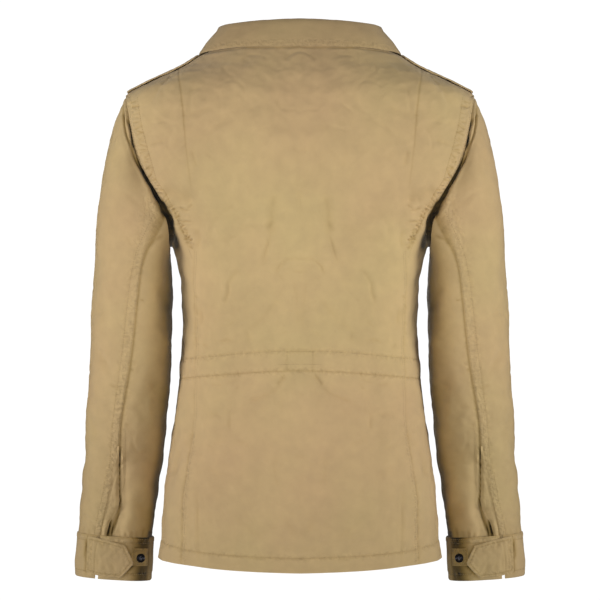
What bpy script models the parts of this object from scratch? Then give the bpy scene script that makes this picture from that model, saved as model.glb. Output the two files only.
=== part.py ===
# A field jacket in the shape it has when worn, hollow, with no wearer in it.
# +Z is up, the wearer faces -Y and the wearer's left is +X. The origin is the
# centre of the neck base. Lengths in this file are millimetres unless a name
# says otherwise, and MM turns them into metres where a mesh is made.

from functools import lru_cache
from math import cos, pi, radians, sin
from types import SimpleNamespace

import bpy
import numpy as np

MM = 0.001
CLOTH = 1.5  # wall of a cloth panel
SEAM = 0.3  # gap between two pieces at a seam
THICK_CLOTH = 2.0  # collar, straps, tabs and cuffs: two layers and their turnings
MOST_MITRE = 2.0  # how far a sharp seam may lengthen the wall's inner corner
PLAN_STEPS = 240  # of each quarter of the body's plan
NEAR_LEVEL, NEAR_TURN, NEAR_ALONG = 3, 0.01, 0.05  # steps that a surface's direction is measured over

ARMPIT_LEVEL, SHOULDER_LEVEL, STRAP_LINE_LEVEL, NECK_LEVEL = 412, 640, 710, 760
SEAM_JUNCTION_LEVEL = 403  # where the back line meets the side-back seam
ARMHOLE_STEPS = 14  # cloth rows from the armpit to the shoulder tip
JUNCTION_STEP = 4  # the armhole step where the side-back seam meets the armhole
CASING_LEVELS = (244.5, 257, 269.5)  # lower edge, middle and upper edge of the waist casing
CASING_LIFT = 1.2  # how far the casing stands out at the waist
BACK_COLUMNS, INSERT_COLUMNS, UNDERARM_COLUMNS, CHEST_COLUMNS = 5, 2, 2, 7
LOW_LEVELS = (0, 20, 60, 110, 160, 205, 236, *CASING_LEVELS, 280, 310, 345, 378, SEAM_JUNCTION_LEVEL)
HIGH_LEVELS = (660, 680, 695, 704, 708.6, STRAP_LINE_LEVEL, 735, NECK_LEVEL)
FOLD_FADE_TURN, FOLD_FADE_DEPTH = 0.25, 60  # the body's folds die out towards the armhole

PLACKET_HALF_WIDTH = 30
FRONT_BUTTON_LEVELS = (110, 205, 310, 438, 570)
BUTTON_RADIUS, BUTTON_HEIGHT, BUTTON_SIDES = 6.2, 3.2, 14
BUTTON_PROFILE = ((0, 0), (0.95, 0), (1, 0.75), (0.86, 1), (0.62, 0.72), (0, 0.6))  # of radius, of height
TACK_HALF_WIDTH, TACK_THICKNESS = 18.5, 1.0

SLEEVE_COLUMNS = 2 * ARMHOLE_STEPS
BACK_SEAM_COLUMN, FRONT_SEAM_COLUMN = 9, 18  # where the two sleeve pieces meet
CAP_ROWS, CAP_CROWDING = 8, 1.15  # rows from the armhole to the first arm section, closer at the top
CAP_LEAVING, CAP_LEAVING_AT_TOP = (0.28, 0.62, -0.86), 0.18  # the way the cloth leaves the armhole
CAP_PULLS, CAP_PULLS_AT_TOP = (31, 44), (20, 26)  # reach of the cap's bend at its two ends
CAP_ARRIVING = 0.2  # the first stretch of arm that the cap's bend runs into
CAP_FOLD_FADE = 2 / 3  # the sleeve's folds die out over this share of the cap
SECTION_LENGTH, SLEEVE_GIRTH = 48, 300  # about what one arm section and one turn measure
ARM_ROWS = (1, 1.7, 2.5, 3.3, 4.1, 4.9, 5.7, 6.5, 7.3, 8.1, 8.9, 9.4, 10)

CUFF_HEIGHT, CUFF_OVERLAP = 60, 12
CUFF_CLEAR = 1.0  # the cuff's inner face outside the sleeve's end
CUFF_OPENING = (0.183, 0.197)  # the cuff's two ends, as turns round the arm
NARROWEST_CUFF_COLUMN = 0.008

ROLL_RADIUS, ROLL_FLATTENING, ROLL_ANGLES = 4.0, 0.7, (50, 125)  # the collar's bend, seen end-on
STAND_SHARES, FALL_SHARES = (0.12, 0.5, 0.86), (0.05, 0.5, 1)
STAND_HOLLOW, FALL_BELLY = -1.2, 3.0
FOOT_THICKNESS = 1.8  # the collar where it meets the neck seam
FALL_CLEAR = 1.2  # the fall's edge above the cloth it lies on
COLLAR_FRONT_GAP = 9  # from the centre front to each end of the collar
STRAP_HALF_WIDTH, STRAP_COLUMNS = 22, 6
STRAP_LIFT, STRAP_ROOT_LIFT, STRAP_ROOT_REACH = 0.6, 0.8, 26  # it lies loose on the shoulder

SIDES = {"left": 1, "right": -1}
CLOTH_COLOUR, CLOTH_ROUGHNESS, CLOTH_METALLIC = (0.472, 0.352, 0.170, 1), 0.85, 0.0
BUTTON_COLOUR, BUTTON_ROUGHNESS, BUTTON_METALLIC = (0.020, 0.019, 0.024, 1), 0.35, 0.6
SHARP_DEGREES = 50


def table(columns, *rows):
    return dict(zip(columns.split(), np.array(rows, float).T))


# The body's plan at each level above the hem. half: half width at the side.
# side_z, back_z, front_z: height of the cloth there. back_y, front_y: depth.
BODY = table(
    "level half side_z back_y back_z front_y front_z square",
    (0, 190.0, -671, 122, -682, -126, -682, 2.4),
    (60, 184.5, -609, 121, -618, -125, -617, 2.4),
    (120, 177.5, -552, 118, -553, -123, -552, 2.4),
    (180, 170.0, -492, 112, -487, -120, -488, 2.4),
    (257, 162.5, -417, 102, -404, -116, -412, 2.4),
    (310, 158.5, -362, 101, -349, -117, -356, 2.4),
    (350, 159.0, -318, 104, -305, -120, -312, 2.4),
    (380, 161.5, -286, 108, -273, -123, -281, 2.4),
    (412, 172.5, -252, 112, -238, -126, -248, 2.4),
    (440, 188.0, -226, 115, -210, -129, -228, 2.4),
    (470, 204.0, -197, 118, -181, -131, -207, 2.4),
    (500, 220.0, -168, 120, -154, -132, -185, 2.4),
    (540, 236.0, -130, 121, -119, -131, -156, 2.4),
    (600, 242.0, -78, 115, -70, -124, -120, 2.4),
    (640, 234.0, -49, 108, -44, -118, -102, 2.4),
    (675, 202.0, -30, 98, -24, -113, -91, 2.3),
    (710, 164.0, -12, 84, -4, -108, -82, 2.2),
    (735, 135.0, 5, 73, 8, -103, -76, 2.2),
    (760, 108.0, 18, 62, 20, -98, -70, 2.2),
)

# Half width from the centre back to the side-back seam, and above the seam
# junction to the thin line that runs up to the shoulder.
BACK_LINE = table(
    "level x",
    (0, 158), (60, 157), (120, 150), (160, 144), (257, 140), (310, 140), (350, 141), (403, 139.5),
    (455, 141), (500, 145.5), (540, 150), (600, 154.5), (640, 157.5), (675, 160.5), (710, 164),
)

# How far the armhole is cut in from the side, along the cloth, on its way from
# the armpit (share 0) to the shoulder tip (share 1).
ARMHOLE = table(
    "share back front",
    (0.000, 0, 0), (0.125, 40, 28), (0.250, 65, 58), (0.375, 69, 78), (0.500, 63, 84),
    (0.625, 60, 76), (0.750, 49, 58), (0.875, 32, 32), (1.000, 0, 0),
)

# How far the front's columns of cloth crowd towards the fly to make room for
# the armhole, in length along the front.
CHEST_CROWDING = table(
    "level shift",
    (0, 0), (300, 0), (350, 14), (412, 44), (460, 66), (510, 76), (560, 68), (600, 46), (640, 20),
    (680, 0), (760, 0),
)

# Sections of the arm, from the top of the upper arm to the wrist. outer and
# inner are the ends of the section seen from behind, middle_y is its centre.
ARM = table(
    "section outer_x outer_z inner_x inner_z middle_y half_depth",
    (0, 276.0, -262, 172.0, -300, -2, 72),
    (1, 279.0, -310, 172.2, -335, -2, 69),
    (2, 282.0, -365, 173.0, -385, -2, 64),
    (3, 284.5, -415, 175.0, -428, -4, 59),
    (4, 288.0, -460, 178.0, -469, -8, 55),
    (5, 291.5, -505, 182.5, -510, -15, 51),
    (6, 295.5, -550, 188.5, -552, -23, 47),
    (7, 298.5, -597, 195.0, -600, -31, 43.5),
    (8, 301.0, -634, 201.0, -641, -36, 41),
    (9, 301.5, -651, 202.5, -658, -38, 40),
)
ARM_SQUARE = 2.2
ARM_SECTIONS = len(ARM["section"]) - 1

# The sleeve's back seam, in turns round the arm from its outer edge, along the
# sleeve: 0 at the armhole, 1 at the first section, then section by section.
BACK_SEAM = table(
    "along turn",
    (0, 9 / 28), (0.6, 0.288), (1, 0.280), (2, 0.262), (3.5, 0.247), (5, 0.238), (7, 0.215),
    (8, 0.197), (9, 0.189), (10, 0.189),
)

# Soft folds of the body. Each runs from one end to the other, as seen from
# behind, and lifts (or sinks) the cloth by its height within its width.
BODY_FOLDS = table(
    "x0 z0 x1 z1 width height",
    (40, -372, 52, -300, 30, 2.5),
    (150, -290, 90, -235, 26, 3.0),
    (28, -425, 70, -470, 22, -2.5),
    (110, -340, 60, -352, 22, -2.5),
    (150, -610, 148, -700, 16, -2.0),
    (120, -440, 118, -520, 30, 2.0),
)

# Soft folds of the sleeve: lengths down it from the armhole and round it from
# its outer edge.
SLEEVE_FOLDS = table(
    "along0 turn0 along1 turn1 width height",
    (331, 76, 389, 79, 12, -4.0),
    (398, 78, 480, 70, 13, -7.0),
    (221, 105, 259, 132, 22, -3.0),
    (144, 90, 106, 126, 26, -3.0),
    (278, 36, 317, 6, 28, -2.5),
    (77, 48, 38, 24, 30, 2.5),
    (317, 108, 355, 141, 24, -2.5),
)

# The pointed tab on the cuff: how far each corner is along the cuff from the
# tab's root, and how far down from the cuff's top edge.
TAB = table(
    "along top bottom",
    (0, 2, 52), (14, 3.5, 54.5), (28, 6, 56), (48, 10.5, 56.5), (52.5, 11.8, 51), (63.5, 34, 37),
)
TAB_STATIONS = (0, 7, 14, 21, 28, 35, 42, 48, 52.5, 63.5)
TAB_ROOT_TURN, TAB_TIP_LIFT = 0.141, 1.6
PATCH_TURNS, PATCH_DROPS, PATCH_THICKNESS = (0.325, 0.417), (15, 39), 1.0
CUFF_BUTTON_TURN, CUFF_BUTTON_DROP = 0.366, 28

# The collar, by share of the way from the centre back to the front end. lean
# and stand place the roll over the neck seam, drop is where the fall's edge
# rests, measured down the cloth, and spread carries the point outward.
COLLAR = table(
    "share lean stand drop spread",
    (0.00, -5, 28, 9, 0.00),
    (0.25, -5, 26.6, 11, 0.00),
    (0.50, -6, 23.6, 22, 0.00),
    (0.75, -9, 25, 36, 0.03),
    (1.00, -8, 24, 52, 0.17),
)

# The shoulder strap, from its root at the shoulder tip: share of its full width.
STRAP = table(
    "level share",
    (SHOULDER_LEVEL + 4, 1), (660, 1), (680, 1), (700, 1), (719, 1), (728, 0.8), (734, 0.2),
)


def smooth(at, places, values):
    """A smooth curve through the table's values, with three-point slopes."""
    step = np.diff(places)
    slope = np.diff(values) / step
    tangent = np.empty(len(places))
    tangent[1:-1] = (slope[:-1] * step[1:] + slope[1:] * step[:-1]) / (step[1:] + step[:-1])
    tangent[0], tangent[-1] = slope[0], slope[-1]
    i = int(np.clip(np.searchsorted(places, at) - 1, 0, len(places) - 2))
    t = (at - places[i]) / step[i]
    rise = t * t * (3 - 2 * t)
    start_pull, end_pull = t * (1 - t) ** 2, t * t * (t - 1)
    return values[i] + (values[i + 1] - values[i]) * rise + step[i] * (
        start_pull * tangent[i] + end_pull * tangent[i + 1]
    )


def row_at(rows, key, at):
    return SimpleNamespace(**{name: smooth(at, rows[key], column) for name, column in rows.items()})


def unit(vectors):
    return vectors / np.maximum(np.linalg.norm(vectors, axis=-1, keepdims=True), 1e-9)


def signed_power(value, power):
    return np.sign(value) * np.abs(value) ** power


@lru_cache(maxsize=None)
def plan_at(level):
    """The body's plan at a level. turn runs from 0 (centre back) over 1 (side) to 2."""
    row = row_at(BODY, "level", level)
    angle = np.linspace(0, pi / 2, PLAN_STEPS + 1)
    across = row.half * np.sin(angle) ** (2 / row.square)
    deep = np.cos(angle) ** (2 / row.square)
    back_x, back_y = across, row.back_y * deep
    front_x, front_y = across[::-1], row.front_y * deep[::-1]
    back_run = np.append(0, np.cumsum(np.hypot(np.diff(back_x), np.diff(back_y))))
    front_run = np.append(0, np.cumsum(np.hypot(np.diff(front_x), np.diff(front_y))))
    turn = np.append(back_run / back_run[-1], 1 + front_run[1:] / front_run[-1])
    return SimpleNamespace(
        row=row,
        turn=turn,
        x=np.append(back_x, front_x[1:]),
        y=np.append(back_y, front_y[1:]),
        back_length=back_run[-1],
        front_length=front_run[-1],
    )


def bare_body(level, turn):
    plan = plan_at(float(level))
    end_z = plan.row.back_z if turn < 1 else plan.row.front_z
    share = (1 + cos(pi * turn)) / 2
    return np.array([
        np.interp(turn, plan.turn, plan.x),
        np.interp(turn, plan.turn, plan.y),
        plan.row.side_z + (end_z - plan.row.side_z) * share,
    ])


def body_normal(level, turn):
    low, high = max(level - NEAR_LEVEL, 0), min(level + NEAR_LEVEL, NECK_LEVEL)
    near, far = max(turn - NEAR_TURN, 0), min(turn + NEAR_TURN, 2)
    up = bare_body(high, turn) - bare_body(low, turn)
    round_it = bare_body(level, far) - bare_body(level, near)
    normal = np.cross(up, round_it)
    if turn in (0, 2):
        normal[0] = 0
    return unit(normal)


def fold_height(folds, ends, at):
    """What the soft folds add at a place that is given in the folds' own two axes."""
    total = 0.0
    for i in range(len(folds["width"])):
        start = np.array([folds[ends[0]][i], folds[ends[1]][i]])
        end = np.array([folds[ends[2]][i], folds[ends[3]][i]])
        run = end - start
        share = float(np.clip((at - start) @ run / (run @ run), 0, 1))
        away = np.linalg.norm(at - start - share * run)
        total += folds["height"][i] * np.exp(-((away / folds["width"][i]) ** 2) * 2)
    return total


@lru_cache(maxsize=None)
def body(level, turn):
    """A point of the body's outer face."""
    point = bare_body(level, turn)
    lift = fold_height(BODY_FOLDS, ("x0", "z0", "x1", "z1"), point[[0, 2]])
    if CASING_LEVELS[0] < level < CASING_LEVELS[2]:
        lift += CASING_LIFT
    below = (ARMPIT_LEVEL - FOLD_FADE_DEPTH - level) / FOLD_FADE_DEPTH
    edge = min(1.0, abs(turn - 1) / FOLD_FADE_TURN + max(0.0, below))
    return point + body_normal(level, turn) * lift * edge * (level < SHOULDER_LEVEL)


def armhole_level(share):
    return ARMPIT_LEVEL + (SHOULDER_LEVEL - ARMPIT_LEVEL) * (1 - cos(pi * share)) / 2


def armhole_turn(share, side):
    """Where the armhole's edge is, as a turn of the body's plan."""
    plan = plan_at(float(armhole_level(share)))
    cut = smooth(share, ARMHOLE["share"], ARMHOLE[side])
    return 1 - cut / plan.back_length if side == "back" else 1 + cut / plan.front_length


def back_line_turn(level):
    plan = plan_at(float(level))
    back = plan.turn <= 1
    x = smooth(level, BACK_LINE["level"], BACK_LINE["x"])
    return float(np.interp(min(x, plan.x[back][-1]), plan.x[back], plan.turn[back]))


def back_columns(level, line):
    """Turns across half the back: even steps as seen from behind, and round the neck."""
    plan = plan_at(float(level))
    back = plan.turn <= 1
    x = np.interp(line, plan.turn, plan.x) * np.linspace(0, 1, BACK_COLUMNS + 1)[:-1]
    seen = np.append(np.interp(x, plan.x[back], plan.turn[back]), line)
    neck = np.clip((level - STRAP_LINE_LEVEL) / (NECK_LEVEL - STRAP_LINE_LEVEL), 0, 1)
    return seen * (1 - neck) + np.linspace(0, line, BACK_COLUMNS + 1) * neck


def chest_columns(level, front_edge, placket):
    shift = smooth(level, CHEST_CROWDING["level"], CHEST_CROWDING["shift"])
    shares = np.linspace(0, 1, CHEST_COLUMNS + 1)
    turns = 1 + (placket - 1) * shares + shift / plan_at(float(level)).front_length * (1 - shares)
    return np.concatenate([[front_edge], turns[1:-1], [placket, 2]])


def body_rows():
    """Each row of the body's cloth: its level and the turns of its edges, seams and columns."""
    levels = [(level, None) for level in LOW_LEVELS]
    levels += [(armhole_level(i / ARMHOLE_STEPS), i) for i in range(ARMHOLE_STEPS + 1)]
    levels += [(level, None) for level in HIGH_LEVELS]
    junction_level = armhole_level(JUNCTION_STEP / ARMHOLE_STEPS)
    rows = []
    for level, step in levels:
        back_edge = front_edge = 1.0
        if step is not None:
            back_edge = armhole_turn(step / ARMHOLE_STEPS, "back")
            front_edge = armhole_turn(step / ARMHOLE_STEPS, "front")
        line = back_line_turn(level) if level < STRAP_LINE_LEVEL else 1.0
        rise = np.clip((level - SEAM_JUNCTION_LEVEL) / (junction_level - SEAM_JUNCTION_LEVEL), 0, 1)
        seam = line + (back_edge - line) * float(rise)
        placket = 2 - PLACKET_HALF_WIDTH / plan_at(float(level)).front_length
        rows.append(SimpleNamespace(
            level=float(level),
            step=step,
            back=back_columns(level, line),
            insert=np.linspace(line, seam if level <= SHOULDER_LEVEL else 1.0, INSERT_COLUMNS + 1),
            underarm=np.linspace(seam, back_edge, UNDERARM_COLUMNS + 1),
            chest=chest_columns(level, front_edge, placket),
        ))
    return rows


def body_grid(rows, turns_of, side):
    """Points for each row, from the centre back towards the centre front."""
    grid = np.array([[body(row.level, float(turn)) for turn in turns_of(row)] for row in rows])
    return grid * (side, 1, 1)


def triangles(grid, mirrored):
    """A cloth sheet from a grid of points, with its outer face showing."""
    count, across = grid.shape[:2]
    index = np.arange(count * across).reshape(count, across)
    a, b, c, d = index[:-1, :-1], index[1:, :-1], index[1:, 1:], index[:-1, 1:]
    faces = np.concatenate([np.stack(t, -1).reshape(-1, 3) for t in ((a, b, c), (a, c, d))])
    return grid.reshape(-1, 3), faces[:, ::-1] if mirrored else faces


def joined(*parts):
    """Grids welded into one sheet wherever their points coincide."""
    points = np.concatenate([points for points, _ in parts])
    starts = np.cumsum([0] + [len(points) for points, _ in parts[:-1]])
    faces = np.concatenate([faces + start for (_, faces), start in zip(parts, starts)])
    _, first, index = np.unique(np.round(points, 3), axis=0, return_index=True, return_inverse=True)
    faces = index.reshape(-1)[faces]
    whole = (faces[:, 0] != faces[:, 1]) & (faces[:, 1] != faces[:, 2]) & (faces[:, 2] != faces[:, 0])
    return points[first], faces[whole]


def body_sheets():
    rows = body_rows()
    junction = next(i for i, row in enumerate(rows) if row.level == SEAM_JUNCTION_LEVEL)
    armhole_end = next(i for i, row in enumerate(rows) if row.step == JUNCTION_STEP)
    line_end = next(i for i, row in enumerate(rows) if row.level == STRAP_LINE_LEVEL)
    parts = {
        "back": (rows, lambda row: row.back),
        "insert": (rows[junction:line_end + 1], lambda row: row.insert),
        "underarm": (rows[:armhole_end + 1], lambda row: row.underarm),
        "chest": (rows, lambda row: row.chest),
    }
    sheets, backs = {}, []
    for name, side in SIDES.items():
        grids = {part: body_grid(chosen, turns_of, side) for part, (chosen, turns_of) in parts.items()}
        back, insert, underarm, chest = (triangles(grid, side < 0) for grid in grids.values())
        backs.append(back)
        sheets["back_side_" + name] = joined(insert)
        sheets["front_" + name] = joined(underarm, chest)
    sheets["back"] = joined(*backs)
    return sheets


def arm_section(along, turn):
    """A point of the arm's outer face at a section, turned from its outer edge."""
    row = row_at(ARM, "section", along)
    outer = np.array([row.outer_x, row.middle_y, row.outer_z])
    inner = np.array([row.inner_x, row.middle_y, row.inner_z])
    angle = 2 * pi * turn
    across = signed_power(cos(angle), 2 / ARM_SQUARE)
    deep = signed_power(sin(angle), 2 / ARM_SQUARE)
    return (outer + inner) / 2 + (outer - inner) / 2 * across + np.array([0, row.half_depth * deep, 0])


def armhole_point(turn):
    """The armhole's edge at a turn of the sleeve: 0 is the shoulder tip, 0.5 the armpit."""
    turn %= 1
    side = "back" if turn < 0.5 else "front"
    share = 1 - 2 * turn if side == "back" else 2 * turn - 1
    return body(float(armhole_level(share)), float(armhole_turn(share, side)))


def sleeve_bare(along, column_turn, turn):
    """The sleeve's outer face: a curved cap up to along 1, then the arm's sections."""
    if along >= 1:
        return arm_section(along - 1, turn)
    top, back = cos(2 * pi * column_turn), sin(2 * pi * column_turn)
    start, end = armhole_point(column_turn), arm_section(0, turn)
    outward, sideways, down = CAP_LEAVING
    leaving = unit(np.array([outward + CAP_LEAVING_AT_TOP * max(top, 0), sideways * back, down]))
    arriving = unit(arm_section(CAP_ARRIVING, turn) - end)
    first = start + leaving * (CAP_PULLS[0] + CAP_PULLS_AT_TOP[0] * top)
    second = end - arriving * (CAP_PULLS[1] + CAP_PULLS_AT_TOP[1] * top)
    keep = 1 - along
    bend = 3 * keep * along * (keep * first + along * second)
    return keep ** 3 * start + bend + along ** 3 * end


def sleeve_turn(along, column):
    """Where a column of sleeve cloth lies round the arm: the seam columns follow the seams."""
    start, front = BACK_SEAM_COLUMN / SLEEVE_COLUMNS, FRONT_SEAM_COLUMN / SLEEVE_COLUMNS
    back = smooth(along, BACK_SEAM["along"], BACK_SEAM["turn"])
    return float(np.interp(column / SLEEVE_COLUMNS, [front - 1, start, front], [front - 1, back, front]))


@lru_cache(maxsize=None)
def sleeve(along, column):
    turn = sleeve_turn(along, column)
    column_turn = column / SLEEVE_COLUMNS
    point = sleeve_bare(along, column_turn, turn)
    if along == 0:
        return point
    low, high = max(along - NEAR_ALONG, 0), min(along + NEAR_ALONG, ARM_SECTIONS + 1)
    down = sleeve_bare(high, column_turn, turn) - sleeve_bare(low, column_turn, turn)
    after = sleeve_bare(along, column_turn + NEAR_TURN, turn + NEAR_TURN)
    before = sleeve_bare(along, column_turn - NEAR_TURN, turn - NEAR_TURN)
    place = np.array([along * SECTION_LENGTH, turn * SLEEVE_GIRTH])
    lift = fold_height(SLEEVE_FOLDS, ("along0", "turn0", "along1", "turn1"), place)
    return point + unit(np.cross(down, after - before)) * lift * min(1, along / CAP_FOLD_FADE)


def sleeve_rows():
    return [*((i / CAP_ROWS) ** CAP_CROWDING for i in range(CAP_ROWS)), *ARM_ROWS]


def sleeve_sheets():
    sheets = {}
    pieces = {
        "sleeve_top_": range(FRONT_SEAM_COLUMN - SLEEVE_COLUMNS, BACK_SEAM_COLUMN + 1),
        "sleeve_under_": range(BACK_SEAM_COLUMN, FRONT_SEAM_COLUMN + 1),
    }
    for name, side in SIDES.items():
        for piece, columns in pieces.items():
            rows = [[sleeve(float(along), column) for column in columns] for along in sleeve_rows()]
            sheets[piece + name] = joined(triangles(np.array(rows) * (side, 1, 1), side < 0))
    return sheets


def face_normals(points, faces):
    a, b, c = (points[faces[:, i]] for i in range(3))
    return np.cross(b - a, c - a)


def vertex_normals(points, faces):
    total = np.zeros_like(points)
    across = face_normals(points, faces)
    for i in range(3):
        np.add.at(total, faces[:, i], across)
    return unit(total)


def open_edges(faces):
    """The sheet's border, as directed edges of its faces."""
    edges = np.concatenate([faces[:, [0, 1]], faces[:, [1, 2]], faces[:, [2, 0]]])
    known = {tuple(edge) for edge in edges}
    return np.array([edge for edge in edges if (edge[1], edge[0]) not in known])


def inward_at_border(points, faces):
    """The direction from each border point into its own sheet."""
    inward = np.zeros_like(points)
    normals = vertex_normals(points, faces)
    for a, b in open_edges(faces):
        across = unit(np.cross(normals[a] + normals[b], points[b] - points[a]))
        inward[a] += across
        inward[b] += across
    return unit(inward)


def cloth_walls(sheets, wall):
    """Every sheet as a closed wall. Sheets that share a border part by the seam's gap."""
    facts, owners = {}, {}
    for name, (points, faces) in sheets.items():
        facts[name] = (vertex_normals(points, faces), inward_at_border(points, faces))
        for i, key in enumerate(map(tuple, np.round(points, 2) + 0.0)):
            owners.setdefault(key, []).append((name, i))
    walls = {}
    for name, (points, faces) in sheets.items():
        normals, inward = facts[name]
        outer, inner = points.copy(), points - normals * wall
        for i, key in enumerate(map(tuple, np.round(points, 2) + 0.0)):
            others = [facts[other][0][j] for other, j in owners[key]]
            if len(others) < 2:
                continue
            aims = [facts[other][1][j] for other, j in owners[key] if other != name]
            common = unit(np.sum(others, axis=0))
            mitre = np.mean([1 / max(common @ other, 1 / MOST_MITRE) for other in others])
            shift = unit(inward[i] - np.mean(aims, axis=0)) * SEAM / 2
            outer[i] = points[i] + shift
            inner[i] = points[i] + shift - common * wall * mitre
        walls[name] = closed_wall(outer, inner, faces, points)
    return walls


def closed_wall(outer, inner, faces, seats=None):
    """Two faces and their rims. Facing rims split the same way, by the height of their seats."""
    count, rims = len(outer), []
    seats = outer if seats is None else seats
    rank = [(z, abs(x), y) for x, y, z in np.round(seats, 2)]
    for a, b in open_edges(faces):
        if rank[a] < rank[b]:
            rims += [(b, a, b + count), (a, a + count, b + count)]
        else:
            rims += [(b, a, a + count), (b, a + count, b + count)]
    return np.concatenate([outer, inner]), np.concatenate([faces, faces[:, ::-1] + count, rims])


def laid_on(points, faces, gap, thickness):
    """A piece that lies on a sheet, made from the sheet's own points moved out."""
    normals = vertex_normals(points, faces)
    return closed_wall(points + normals * (gap + thickness), points + normals * gap, faces)


def placket_wall():
    rows = body_rows()
    halves = [
        triangles(body_grid(rows, lambda row: row.chest[-2:], side), side < 0)
        for side in SIDES.values()
    ]
    return laid_on(*joined(*halves), SEAM, CLOTH)


def waist_rows():
    return [row for row in body_rows() if row.level in CASING_LEVELS]


def casing_wall():
    """The drawcord's casing, sewn inside the waist from fly to fly."""
    def turns(row):
        return np.concatenate([row.back, row.underarm[1:], row.chest[1:-1]])

    halves = [triangles(body_grid(waist_rows(), turns, side), side < 0) for side in SIDES.values()]
    points, faces = joined(*halves)
    return laid_on(points, faces, -CLOTH - SEAM - CLOTH, CLOTH)


def tack_wall():
    def turns(row):
        edge = TACK_HALF_WIDTH / plan_at(row.level).back_length
        return np.array([0, edge])

    halves = [triangles(body_grid(waist_rows(), turns, side), side < 0) for side in SIDES.values()]
    return laid_on(*joined(*halves), SEAM, TACK_THICKNESS)


def strap_wall(side):
    """The shoulder strap: it lies along the shoulder seam and ends in a blunt point."""
    grid = []
    for level, share in zip(STRAP["level"], STRAP["share"]):
        plan = plan_at(float(level))
        root = max(0.0, 1 - (level - SHOULDER_LEVEL) / STRAP_ROOT_REACH)
        row = []
        for place in np.linspace(-1, 1, STRAP_COLUMNS + 1) * share * STRAP_HALF_WIDTH:
            turn = 1 + place / (plan.back_length if place < 0 else plan.front_length)
            lift = STRAP_LIFT + STRAP_ROOT_LIFT * root
            row.append(body(float(level), float(turn)) + body_normal(level, turn) * lift)
        grid.append(row)
    points, faces = triangles(np.array(grid) * (side, 1, 1), side < 0)
    return laid_on(points, faces, 0, THICK_CLOTH)


def cuff_columns():
    opening_end, opening_start = CUFF_OPENING
    columns = range(FRONT_SEAM_COLUMN - SLEEVE_COLUMNS, FRONT_SEAM_COLUMN)
    turns = sorted(sleeve_turn(ARM_SECTIONS + 1, column) % 1 for column in columns)
    after = [turn for turn in turns if turn > opening_start + NARROWEST_CUFF_COLUMN]
    before = [turn + 1 for turn in turns if turn < opening_end - NARROWEST_CUFF_COLUMN]
    return [opening_start, *after, *before, opening_end + 1]


def arm_middle(section):
    return (arm_section(section, 0.25) + arm_section(section, 0.75)) / 2


def cuff_point(drop, turn):
    """The sleeve's end carried straight down: drop is measured from the cuff's top edge."""
    end, above = arm_section(ARM_SECTIONS, turn), arm_section(ARM_SECTIONS - 1, turn)
    if drop < CUFF_OVERLAP:
        return end + unit(above - end) * (CUFF_OVERLAP - drop)
    down = unit(arm_middle(ARM_SECTIONS) - arm_middle(ARM_SECTIONS - 1))
    return end + down * (drop - CUFF_OVERLAP)


def cuff_outward(turn):
    before, after = (arm_section(ARM_SECTIONS, turn + step) for step in (-NEAR_TURN, NEAR_TURN))
    return unit(np.cross(np.array([0, 0, -1.0]), after - before))


def cuff_wall(side):
    grid = [
        [cuff_point(drop, turn) + cuff_outward(turn) * CUFF_CLEAR for turn in cuff_columns()]
        for drop in (0, CUFF_OVERLAP, CUFF_HEIGHT)
    ]
    points, faces = triangles(np.array(grid) * (side, 1, 1), side < 0)
    return laid_on(points, faces, 0, THICK_CLOTH)


def on_cuff(drop, turn, lift):
    return cuff_point(drop, turn) + cuff_outward(turn) * (CUFF_CLEAR + THICK_CLOTH + lift)


def cuff_arc_turn(start, arc):
    """The turn that lies this far round the cuff from another turn."""
    turns = np.arange(start, start + 0.5, NEAR_TURN / 2)
    points = np.array([on_cuff(CUFF_HEIGHT / 2, turn, 0) for turn in turns])
    run = np.append(0, np.cumsum(np.linalg.norm(np.diff(points, axis=0), axis=1)))
    return float(np.interp(arc, run, turns))


def tab_wall(side):
    grid = []
    for share in np.linspace(0, 1, 4):
        row = []
        for along in TAB_STATIONS:
            top, bottom = (np.interp(along, TAB["along"], TAB[edge]) for edge in ("top", "bottom"))
            lift = 2 * SEAM + TAB_TIP_LIFT * (along / TAB_STATIONS[-1]) ** 2
            row.append(on_cuff(top + (bottom - top) * share, cuff_arc_turn(TAB_ROOT_TURN, along), lift))
        grid.append(row)
    points, faces = triangles(np.array(grid) * (side, 1, 1), side < 0)
    return laid_on(points, faces, 0, THICK_CLOTH)


def patch_wall(side):
    turns, drops = np.linspace(*PATCH_TURNS, 5), np.linspace(*PATCH_DROPS, 2)
    grid = [[on_cuff(drop, turn, 2 * SEAM) for turn in turns] for drop in drops]
    points, faces = triangles(np.array(grid) * (side, 1, 1), side < 0)
    return laid_on(points, faces, 0, PATCH_THICKNESS)


def neck_seats():
    """The neckline's own points, with the collar's end on the last run between two of them."""
    row = body_rows()[-1]
    turns = [*row.back, *row.chest[1:-1]]
    seats = [(float(turn), body(row.level, float(turn))) for turn in turns]
    share = 1 - COLLAR_FRONT_GAP / PLACKET_HALF_WIDTH
    last = seats[-1][1] + (body(row.level, 2.0) - seats[-1][1]) * share
    return seats + [(float(turns[-1] + (2 - turns[-1]) * share), last)]


def fall_edge(turn, drop, spread):
    """Where the fall's edge rests: this far down the cloth from the neck seam."""
    edge_turn = float(turn - spread)
    levels = np.arange(NECK_LEVEL, ARMPIT_LEVEL, -NEAR_LEVEL)
    line = np.array([bare_body(level, edge_turn) for level in levels])
    run = np.append(0, np.cumsum(np.linalg.norm(np.diff(line, axis=0), axis=1)))
    level = float(np.interp(drop, run, levels))
    return body(level, edge_turn) + body_normal(level, edge_turn) * (THICK_CLOTH / 2 + FALL_CLEAR)


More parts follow.
